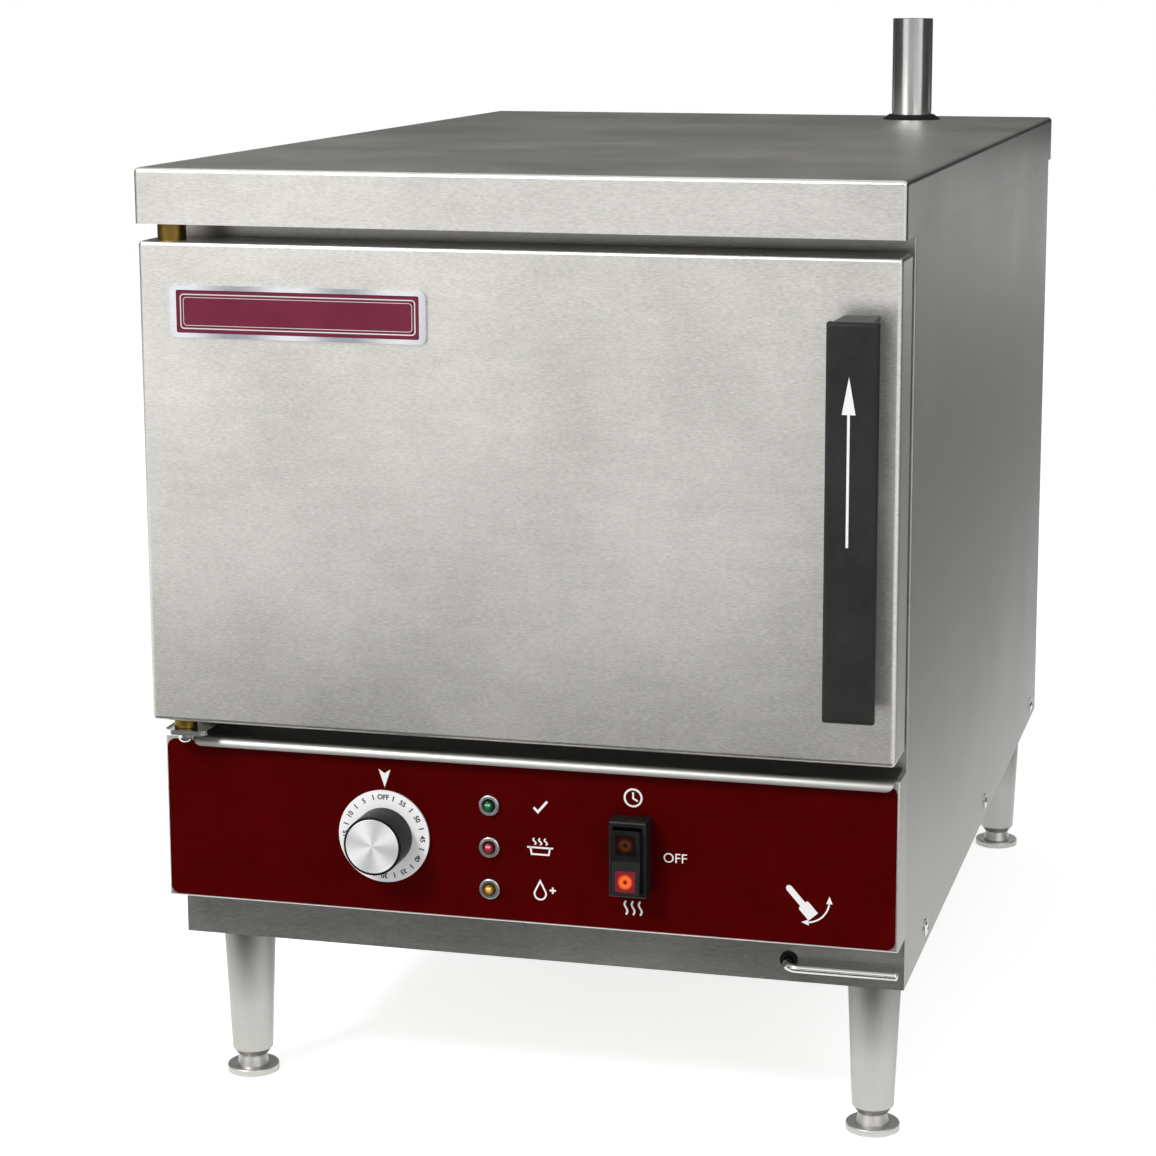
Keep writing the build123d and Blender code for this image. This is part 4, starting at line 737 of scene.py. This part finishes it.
element_sheath = plain_metal("oxidised sheath", (0.13, 0.125, 0.13), 0.5, 0.6, (220, 220, 220), 0.15)
handle_black = moulding("handle black", (0.0175, 0.0175, 0.017), 0.42, 1500.0, 0.25, 0.14)
switch_black = moulding("switch black", (0.0085, 0.0085, 0.0087), 0.32, 2200.0, 0.12, 0.22)
knob_black = moulding("knob black", (0.005, 0.005, 0.0052), 0.36, 2200.0, 0.15, 0.08)
motor_black = moulding("motor enamel", (0.02, 0.02, 0.022), 0.38, 700.0, 0.2)
grommet_rubber = moulding("grommet rubber", (0.007, 0.007, 0.007), 0.6, 1200.0, 0.2, 0.08)
gasket_silicone = moulding("gasket silicone", (0.31, 0.315, 0.32), 0.55, 900.0, 0.2, 0.4, 1.15)
grey_plastic = moulding("grey plastic", (0.23, 0.235, 0.24), 0.45, 1400.0, 0.2, 0.4, 1.2)
blanket = fibre_felt("fibre blanket", (0.8, 0.79, 0.74), (0.52, 0.5, 0.45))
overlay_film = printed_film()
enamel = badge_enamel()

node_finishes = {
    front_steel: ["door_shell"],
    fascia_steel: ["control_fascia"],
    cover_steel: ["top_cover"],
    side_steel: ["left_side_panel", "right_side_panel", "back_panel"],
    base_steel: ["base_pan"],
    frame_steel: ["front_frame", "upper_hinge_bracket"],
    chamber_steel: ["cooking_chamber", "pan_racks", "fan_baffle", "door_inner_panel"],
    leg_steel: ["legs"],
    foot_steel: ["foot_front_left", "foot_front_right", "foot_rear_left", "foot_rear_right"],
    exhaust_steel: ["exhaust_pipe"],
    inner_pipe_steel: ["vent_elbow", "drain_inlet_pipe", "drain_outlet_pipe"],
    tray_steel: ["drip_tray"],
    rim_steel: ["badge_rim"],
    chrome: ["lower_hinge_bracket", "hinge_pins", "hinge_dome_nut", "fan_shaft", "level_probe",
             "valve_ball"],
    rod_steel: ["drain_lever"],
    plated_steel: ["latch_slide", "latch_striker", "timer_shaft", "high_limit_thermostat"],
    bezel_metal: ["pilot_bezels"],
    brass: ["door_bushings", "valve_body"],
    fan_aluminium: ["fan_wheel"],
    element_sheath: ["heater_element"],
    handle_black: ["door_handle"],
    switch_black: ["switch_housing", "switch_rocker"],
    knob_black: ["timer_knob"],
    motor_black: ["fan_motor"],
    grommet_rubber: ["lever_grommet", "pipe_collar"],
    gasket_silicone: ["door_gasket"],
    grey_plastic: ["timer_body", "power_gland", "contactor"],
    blanket: ["chamber_insulation", "door_insulation"],
    overlay_film: ["control_overlay"],
    enamel: ["badge_plate"],
}


dial = middle("timer_dial")
lens_colours = {
    "ready_lens": ((0.0, 0.012, 0.005), (0.004, 0.17, 0.06), 0.2),
    "cooking_lens": ((0.06, 0.001, 0.005), (0.5, 0.02, 0.06), 0.2),
    "water_lens": ((0.08, 0.032, 0.0), (0.6, 0.36, 0.015), 0.25),
}
for lens, (deep, bright, glow) in lens_colours.items():
    glass = pilot_glass(lens.replace("_", " "), tuple(middle(lens)), deep, bright, glow)
    node_finishes[glass] = [lens]
# Painted reflection: one soft wedge makes the dial plate lighter at its top and darker at its bottom.
dial_paint = turned_face("dial plate", tuple(dial), (0.78, 0.78, 0.775), (0.97, 0.97, 0.965), 1, 0.3,
                         0.34, 0.05)
node_finishes[dial_paint] = ["timer_dial"]

for material, names in node_finishes.items():
    for name in names:
        for slot in nodes[name].material_slots:
            slot.material = material


# Timer: printed dial, spun knob face and the pointer above it

INK = 0.06 * MM
DIAL_NUMBERS, NUMBER_STEP = 12, 5
NUMBER_RING, NUMBER_HEIGHT, NUMBER_WEIGHT = 24.6 * MM, 4.3 * MM, 0.12 * MM
TICK_RING, TICK_LENGTH, TICK_WIDTH = 24.9 * MM, 3.4 * MM, 0.75 * MM
FACE_SPOKES, FACE_SINK = 72, 0.4 * MM
FACE_MIDDLE = 0.42 * MM
FACE_RINGS = [(9.0, 0.41), (15.7, 0.4), (16.1, 0.48), (16.45, 0.46), (16.65, 0.3), (16.7, 0.0)]
POINTER_X, POINTER_Z = -86.2 * MM, 223.0 * MM

white_ink = paint_mark("white ink", (0.86, 0.86, 0.85))
black_ink = paint_mark("black ink", (0.02, 0.02, 0.02), 0.3)


def seed_points(name, places):
    mesh = bpy.data.meshes.new(name)
    mesh.from_pydata(places, [], [])
    return mesh


def printed_dial():
    """Numbers round the dial, OFF at rest under the pointer, and a tick between each two."""
    front = on_front(dial.x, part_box("timer_dial")[0].y - INK / 2, dial.z)
    marks = []
    for number in range(DIAL_NUMBERS):
        reading = str(NUMBER_STEP * number) if number else "OFF"
        letters = lettering(reading, NUMBER_HEIGHT, INK, NUMBER_WEIGHT)
        turned = Matrix.Rotation(2 * pi * number / DIAL_NUMBERS, 4, "Z")
        letters.transform(front @ turned @ Matrix.Translation((0, NUMBER_RING, 0)))
        marks.append(letters)
    ticks = grow(make_tick_tree(), seed_points("tick seed", [(0, 0, 0)]), "ticks", ring_radius=TICK_RING,
                 first_turn=radians(105), tick_length=TICK_LENGTH, tick_width=TICK_WIDTH, tick_thickness=INK,
                 finish=black_ink)
    ticks.transform(front)
    return joined(marks + [ticks], "dial_marks")


def spun_face():
    """Metal disc in the knob's face, with a rolled rim."""
    shape = bmesh.new()
    rings = []
    for radius, rise in FACE_RINGS:
        turns = [2 * pi * spoke / FACE_SPOKES for spoke in range(FACE_SPOKES)]
        rings.append([shape.verts.new((radius * MM * cos(turn), radius * MM * sin(turn), rise * MM))
                      for turn in turns])
    top = shape.verts.new((0, 0, FACE_MIDDLE))
    for index in range(FACE_SPOKES):
        after = (index + 1) % FACE_SPOKES
        shape.faces.new((top, rings[0][index], rings[0][after]))
        for inner, outer in zip(rings, rings[1:]):
            shape.faces.new((inner[index], outer[index], outer[after], inner[after]))
    shape.faces.new(list(reversed(rings[-1])))
    return shape_mesh(shape, "knob_face", on_front(dial.x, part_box("timer_knob")[0].y + FACE_SINK, dial.z))


add_piece("dial_marks", printed_dial(), black_ink, "timer_knob")
# Painted highlights: four soft wedges of light across the spun knob face.
face_steel = turned_face("spun knob face", tuple(dial), (0.46, 0.46, 0.455), (1.0, 1.0, 0.995), 4, 2.2,
                         0.24, 0.25)
add_piece("knob_face", spun_face(), face_steel, "timer_knob")

overlay_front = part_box("control_overlay")[0].y
shape = bmesh.new()
plate(shape, [(0.0, -5.8 * MM), (3.8 * MM, 5.6 * MM), (0.0, 3.0 * MM), (-3.8 * MM, 5.6 * MM)], INK)
pointer = shape_mesh(shape, "pointer_mark", on_front(POINTER_X, overlay_front, POINTER_Z))
add_piece("pointer_mark", pointer, white_ink, "cabinet")


# Printed symbols and OFF on the control panel

def panel_symbols():
    """Tick, steaming pan, drop, clock, steam and drain lever symbols, in millimetres on the overlay."""
    shape = bmesh.new()

    def line(points, width, closed=False):
        band(shape, [(x * MM, y * MM) for x, y in points], width * MM, INK, closed)

    def area(points):
        plate(shape, [(x * MM, y * MM) for x, y in points], INK)

    def wave(x, low, high, width=0.9):
        rise = high - low
        line([(x + 0.9 * sin(2 * pi * part / 16), low + rise * part / 16) for part in range(17)], width)

    # tick beside the green light
    line([(7.6, 211.2), (10.2, 208.6), (16.0, 215.4)], 1.5)

    # steaming pan beside the red light
    line([(5.4, 186.4), (6.2, 182.2), (16.8, 182.2), (17.6, 186.4)], 1.1)
    line([(3.4, 186.4), (19.6, 186.4)], 1.1)
    for x in (8.0, 11.5, 15.0):
        wave(x, 188.2, 192.2)

    # drop and plus beside the amber light
    drop = arc((11.4, 157.6), 3.6, -215, 35, 20) + [(11.4, 165.6)]
    line(drop, 1.1, True)
    line([(17.2, 160.2), (21.2, 160.2)], 1.1)
    line([(19.2, 158.2), (19.2, 159.64)], 1.1)
    line([(19.2, 160.76), (19.2, 162.2)], 1.1)

    # clock above the switch, steam below it
    line(arc((69.0, 221.5), 5.2, 0, 354, 36), 1.2, True)
    line([(69.0, 224.9), (69.0, 221.2), (71.8, 219.6)], 1.1)
    for x in (64.6, 69.0, 73.4):
        wave(x, 149.0, 157.5, 1.2)

    # drain lever and the way it turns
    top = Vector((163.6, 173.3))
    lever = Vector((0.66, -0.75)).normalized()
    side = Vector((-lever.y, lever.x))
    outline = [(0, -1.9), (12.6, -1.9), (12.6, -3.1), (13.6, -3.7), (22.2, -3.7), (22.2, 3.7), (13.6, 3.7),
               (12.6, 3.1), (12.6, 1.9), (0, 1.9), (-1.3, 1.3), (-1.9, 0.0), (-1.3, -1.3)]
    area([top + lever * ahead + side * across for ahead, across in outline])
    line(arc((173.8, 167.0), 14.0, -84, -6, 20), 1.0)
    area([(187.8, 169.8), (185.9, 165.2), (189.7, 165.2)])
    area([(171.2, 153.0), (175.6, 151.1), (175.6, 154.9)])
    return shape_mesh(shape, "panel_symbols", on_front(0, overlay_front, 0))


OFF_HEIGHT, OFF_X, OFF_Z = 8.4 * MM, 94.7 * MM, 185.8 * MM
off_word = lettering("OFF", OFF_HEIGHT, INK)
off_word.transform(on_front(OFF_X, overlay_front - INK / 2, OFF_Z))
panel_marks = joined([panel_symbols(), off_word], "panel_symbols")
add_piece("panel_symbols", panel_marks, white_ink, "cabinet")


# Handle arrow and badge pinstripe

ARROW_X, ARROW_LOW, ARROW_NECK, ARROW_TIP = 204.0 * MM, 388.8 * MM, 463.3 * MM, 484.4 * MM
ARROW_LINE, ARROW_HALF_WIDTH = 1.5 * MM, 3.85 * MM
shape = bmesh.new()
band(shape, [(0, ARROW_LOW), (0, ARROW_NECK)], ARROW_LINE, INK)
plate(shape, [(-ARROW_HALF_WIDTH, ARROW_NECK), (ARROW_HALF_WIDTH, ARROW_NECK), (0, ARROW_TIP)], INK)
arrow = shape_mesh(shape, "handle_arrow", on_front(ARROW_X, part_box("door_handle")[0].y, 0))
add_piece("handle_arrow", arrow, white_ink, "handle")

STRIPE_CORNER, STRIPE_RISE = 2.0 * MM, 0.2 * MM
badge_low, badge_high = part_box("badge_plate")
badge = middle("badge_plate")
shape = bmesh.new()
for inset, width in ((2.6, 0.7), (4.4, 0.35)):
    right = (badge_high.x - badge_low.x) / 2 - inset * MM
    upper = (badge_high.z - badge_low.z) / 2 - inset * MM
    band(shape, round_box(-right, -upper, right, upper, STRIPE_CORNER), width * MM, STRIPE_RISE, True)
pinstripe = shape_mesh(shape, "badge_pinstripe", on_front(badge.x, badge_low.y, badge.z))
add_piece("badge_pinstripe", pinstripe, chrome, "door")


# Rocker windows with the lamps behind them

ROCKER_LEAN = radians(7.6)
WINDOW_RISE, WINDOW_DROP = 10.4 * MM, -12.0 * MM
WINDOW_OUTLINE = round_box(-6.1 * MM, -6.2 * MM, 6.1 * MM, 6.2 * MM, 0.8 * MM, 4)
WINDOW_THICKNESS = 0.25 * MM
rocker_low, rocker_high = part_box("switch_rocker")
ridge = Vector(((rocker_low.x + rocker_high.x) / 2,
                rocker_low.y + (rocker_high.z - rocker_low.z) / 2 * tan(ROCKER_LEAN),
                (rocker_low.z + rocker_high.z) / 2))


def rocker_window(name, material, lean, along):
    """Window plate on one half of the rocker, so far along from the ridge."""
    shape = bmesh.new()
    plate(shape, WINDOW_OUTLINE, WINDOW_THICKNESS)
    place = on_front(*ridge) @ Matrix.Rotation(lean, 4, "X") @ Matrix.Translation((0, along, 0))
    return add_piece(name, shape_mesh(shape, name, place), material, "rocker")


dim_window = lamp_window("dark lamp window", (ridge.x, 0.0, ridge.z + WINDOW_RISE),
                         (0.012, 0.003, 0.003), (0.085, 0.022, 0.006), (0.014, 0.004, 0.002), 0.0)
lit_window = lamp_window("lit lamp window", (ridge.x, 0.0, ridge.z + WINDOW_DROP),
                         (0.1, 0.006, 0.012), (0.9, 0.11, 0.016), (0.11, 0.008, 0.003), 0.7)
rocker_window("rocker_window_upper", dim_window, ROCKER_LEAN, WINDOW_RISE)
rocker_window("rocker_window_lower", lit_window, -ROCKER_LEAN, WINDOW_DROP)


# Panel screws and vent hoods

SIDE_SCREW_DEPTHS, SIDE_SCREW_HEIGHT = (84.0, 373.0, 662.0), 118.0 * MM
BACK_SCREW_X, PANEL_LOW, PANEL_HIGH, BACK_SCREW_LEVELS = 221.0 * MM, 138.0, 588.5, 3
HOODS_X, HOODS_Z = -65.0 * MM, 312.0 * MM
HOOD_SHEET = 0.8 * MM

screw_places = []
for depth in SIDE_SCREW_DEPTHS:
    for side in (-1, 1):
        screw_places.append(((side * SIDE_FACE, FRONT + depth * MM, SIDE_SCREW_HEIGHT), (side, 0, 0)))
for level in range(BACK_SCREW_LEVELS):
    height = PANEL_LOW + (PANEL_HIGH - PANEL_LOW) * (level + 0.5) / BACK_SCREW_LEVELS
    for side in (-1, 1):
        screw_places.append(((side * BACK_SCREW_X, BACK_FACE, height * MM), (0, 1, 0)))
screw_seed = seed_points("screw seed", [place for place, _ in screw_places])
pointing = screw_seed.attributes.new("facing", "FLOAT_VECTOR", "POINT")
for index, (_, facing) in enumerate(screw_places):
    pointing.data[index].vector = facing
screws = grow(make_screw_tree(), screw_seed, "cross_head_screws", finish=chrome)
screws = add_piece("cross_head_screws", screws, chrome, "cabinet")
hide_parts("panel_screws")

hoods = grow(make_hood_tree(), seed_points("hood seed", [(0, 0, 0)]), "vent_hoods", finish=side_steel)
hoods.transform(Matrix(((1, 0, 0, HOODS_X), (0, 0, 1, BACK_FACE), (0, 1, 0, HOODS_Z), (0, 0, 0, 1))))
hoods = add_piece("vent_hoods", hoods, side_steel, "cabinet")
thicken = hoods.modifiers.new("sheet", "SOLIDIFY")
thicken.thickness = HOOD_SHEET
thicken.offset = 0.0


# Floor, light, camera, and the cards that only the metal mirrors

def stage_plane(name, corners, material):
    mesh = bpy.data.meshes.new(name)
    mesh.from_pydata(corners, [], [(0, 1, 2, 3)])
    mesh.materials.append(material)
    plane = bpy.data.objects.new(name, mesh)
    bpy.context.collection.objects.link(plane)
    return plane


def seen_rays(tree):
    """One for rays that show the background: from the camera, off metal or through glass."""
    path = tree.nodes.new("ShaderNodeLightPath").outputs
    seen = maths(tree, "MAXIMUM", path["Is Camera Ray"], path["Is Glossy Ray"])
    return maths(tree, "MAXIMUM", seen, path["Is Transmission Ray"])


def floor_material():
    """White floor that keeps the shadow and glows where it is seen."""
    material = bpy.data.materials.new("studio floor")
    material.use_nodes = True
    tree = material.node_tree
    tree.nodes.clear()
    diffuse = tree.nodes.new("ShaderNodeBsdfDiffuse")
    diffuse.inputs["Color"].default_value = (0.8, 0.8, 0.8, 1)
    glow = tree.nodes.new("ShaderNodeEmission")
    feed(tree, maths(tree, "MULTIPLY", seen_rays(tree), 0.68), glow.inputs["Strength"])
    both = tree.nodes.new("ShaderNodeAddShader")
    tree.links.new(diffuse.outputs[0], both.inputs[0])
    tree.links.new(glow.outputs[0], both.inputs[1])
    tree.links.new(both.outputs[0], tree.nodes.new("ShaderNodeOutputMaterial").inputs["Surface"])
    return material


def card_material(name, level):
    material, tree, skin = finish(name)
    cloudy = noise(tree, object_place(tree), 3.0)
    feed(tree, between(tree, cloudy, (level * 0.85,) * 3, (level * 1.15,) * 3), skin["Base Color"])
    skin["Roughness"].default_value = 1.0
    return material


stage_plane("floor", [(-8, -8, 0), (8, -8, 0), (8, 8, 0), (-8, 8, 0)], floor_material())
dark_card, grey_card = card_material("dark card", 0.085), card_material("grey card", 0.2)
cards = {
    "rear_card": (dark_card, [(-2.2, 1.5, 0.5), (2.0, 1.5, 0.5), (2.0, 1.5, 2.4), (-2.2, 1.5, 2.4)]),
    "side_card": (dark_card, [(0.45, 0.25, 0.03), (2.6, 0.25, 0.03), (2.6, 4.5, 0.03), (0.7, 4.5, 0.03)]),
    "front_card": (dark_card, [(-0.8, -0.42, 0.02), (0.9, -0.42, 0.02), (0.15, -1.75, 0.02),
                               (-0.8, -1.75, 0.02)]),
    "left_card": (dark_card, [(-2.2, 1.5, 0.0), (-5.6, -4.6, 0.0), (-5.6, -4.6, 2.2), (-2.2, 1.5, 2.2)]),
    "middle_card": (grey_card, [(-1.5, -5.0, 0.62), (4.9, -5.0, 0.62), (4.9, -5.0, 1.8), (-1.5, -5.0, 1.8)]),
    "right_card": (dark_card, [(2.0, 1.5, 0.0), (4.6, -1.6, 0.0), (4.6, -1.6, 2.2), (2.0, 1.5, 2.2)]),
}
for name, (material, corners) in cards.items():
    card = stage_plane(name, corners, material)
    card.visible_camera = False
    card.visible_diffuse = False
    card.visible_shadow = False

world = bpy.data.worlds.new("studio")
bpy.context.scene.world = world
world.use_nodes = True
sky = world.node_tree
background = sky.nodes["Background"].inputs
background["Color"].default_value = (1, 1, 1, 1)
feed(sky, spread(sky, seen_rays(sky), 0.42, 1.0), background["Strength"])


def soft_box(name, place, size, power):
    """Square lamp aimed at the middle of the steamer."""
    light = bpy.data.lights.new(name, "AREA")
    light.shape = "SQUARE"
    light.size = size
    light.energy = power
    lamp = bpy.data.objects.new(name, light)
    lamp.location = place
    lamp.rotation_euler = (Vector((0, 0, 0.35)) - Vector(place)).to_track_quat("-Z", "Y").to_euler()
    bpy.context.collection.objects.link(lamp)


soft_box("key", (-1.4, -2.6, 2.6), 0.9, 84)
soft_box("fill", (2.0, -2.6, 1.9), 1.6, 20)

# The place, turn and lens that the corners of the cabinet give for the photograph's view.
optics = bpy.data.cameras.new("camera")
optics.sensor_width = 36.0
optics.lens = 90.08
optics.shift_x = -0.0502
optics.shift_y = -0.0588
optics.clip_start = 0.05
camera = bpy.data.objects.new("camera", optics)
camera.location = (0.47325, -1.95683, 0.70137)
camera.rotation_euler = (radians(79.5189), 0.0, radians(14.0723))
bpy.context.collection.objects.link(camera)
bpy.context.scene.camera = camera

bpy.context.scene.view_settings.view_transform = "Standard"
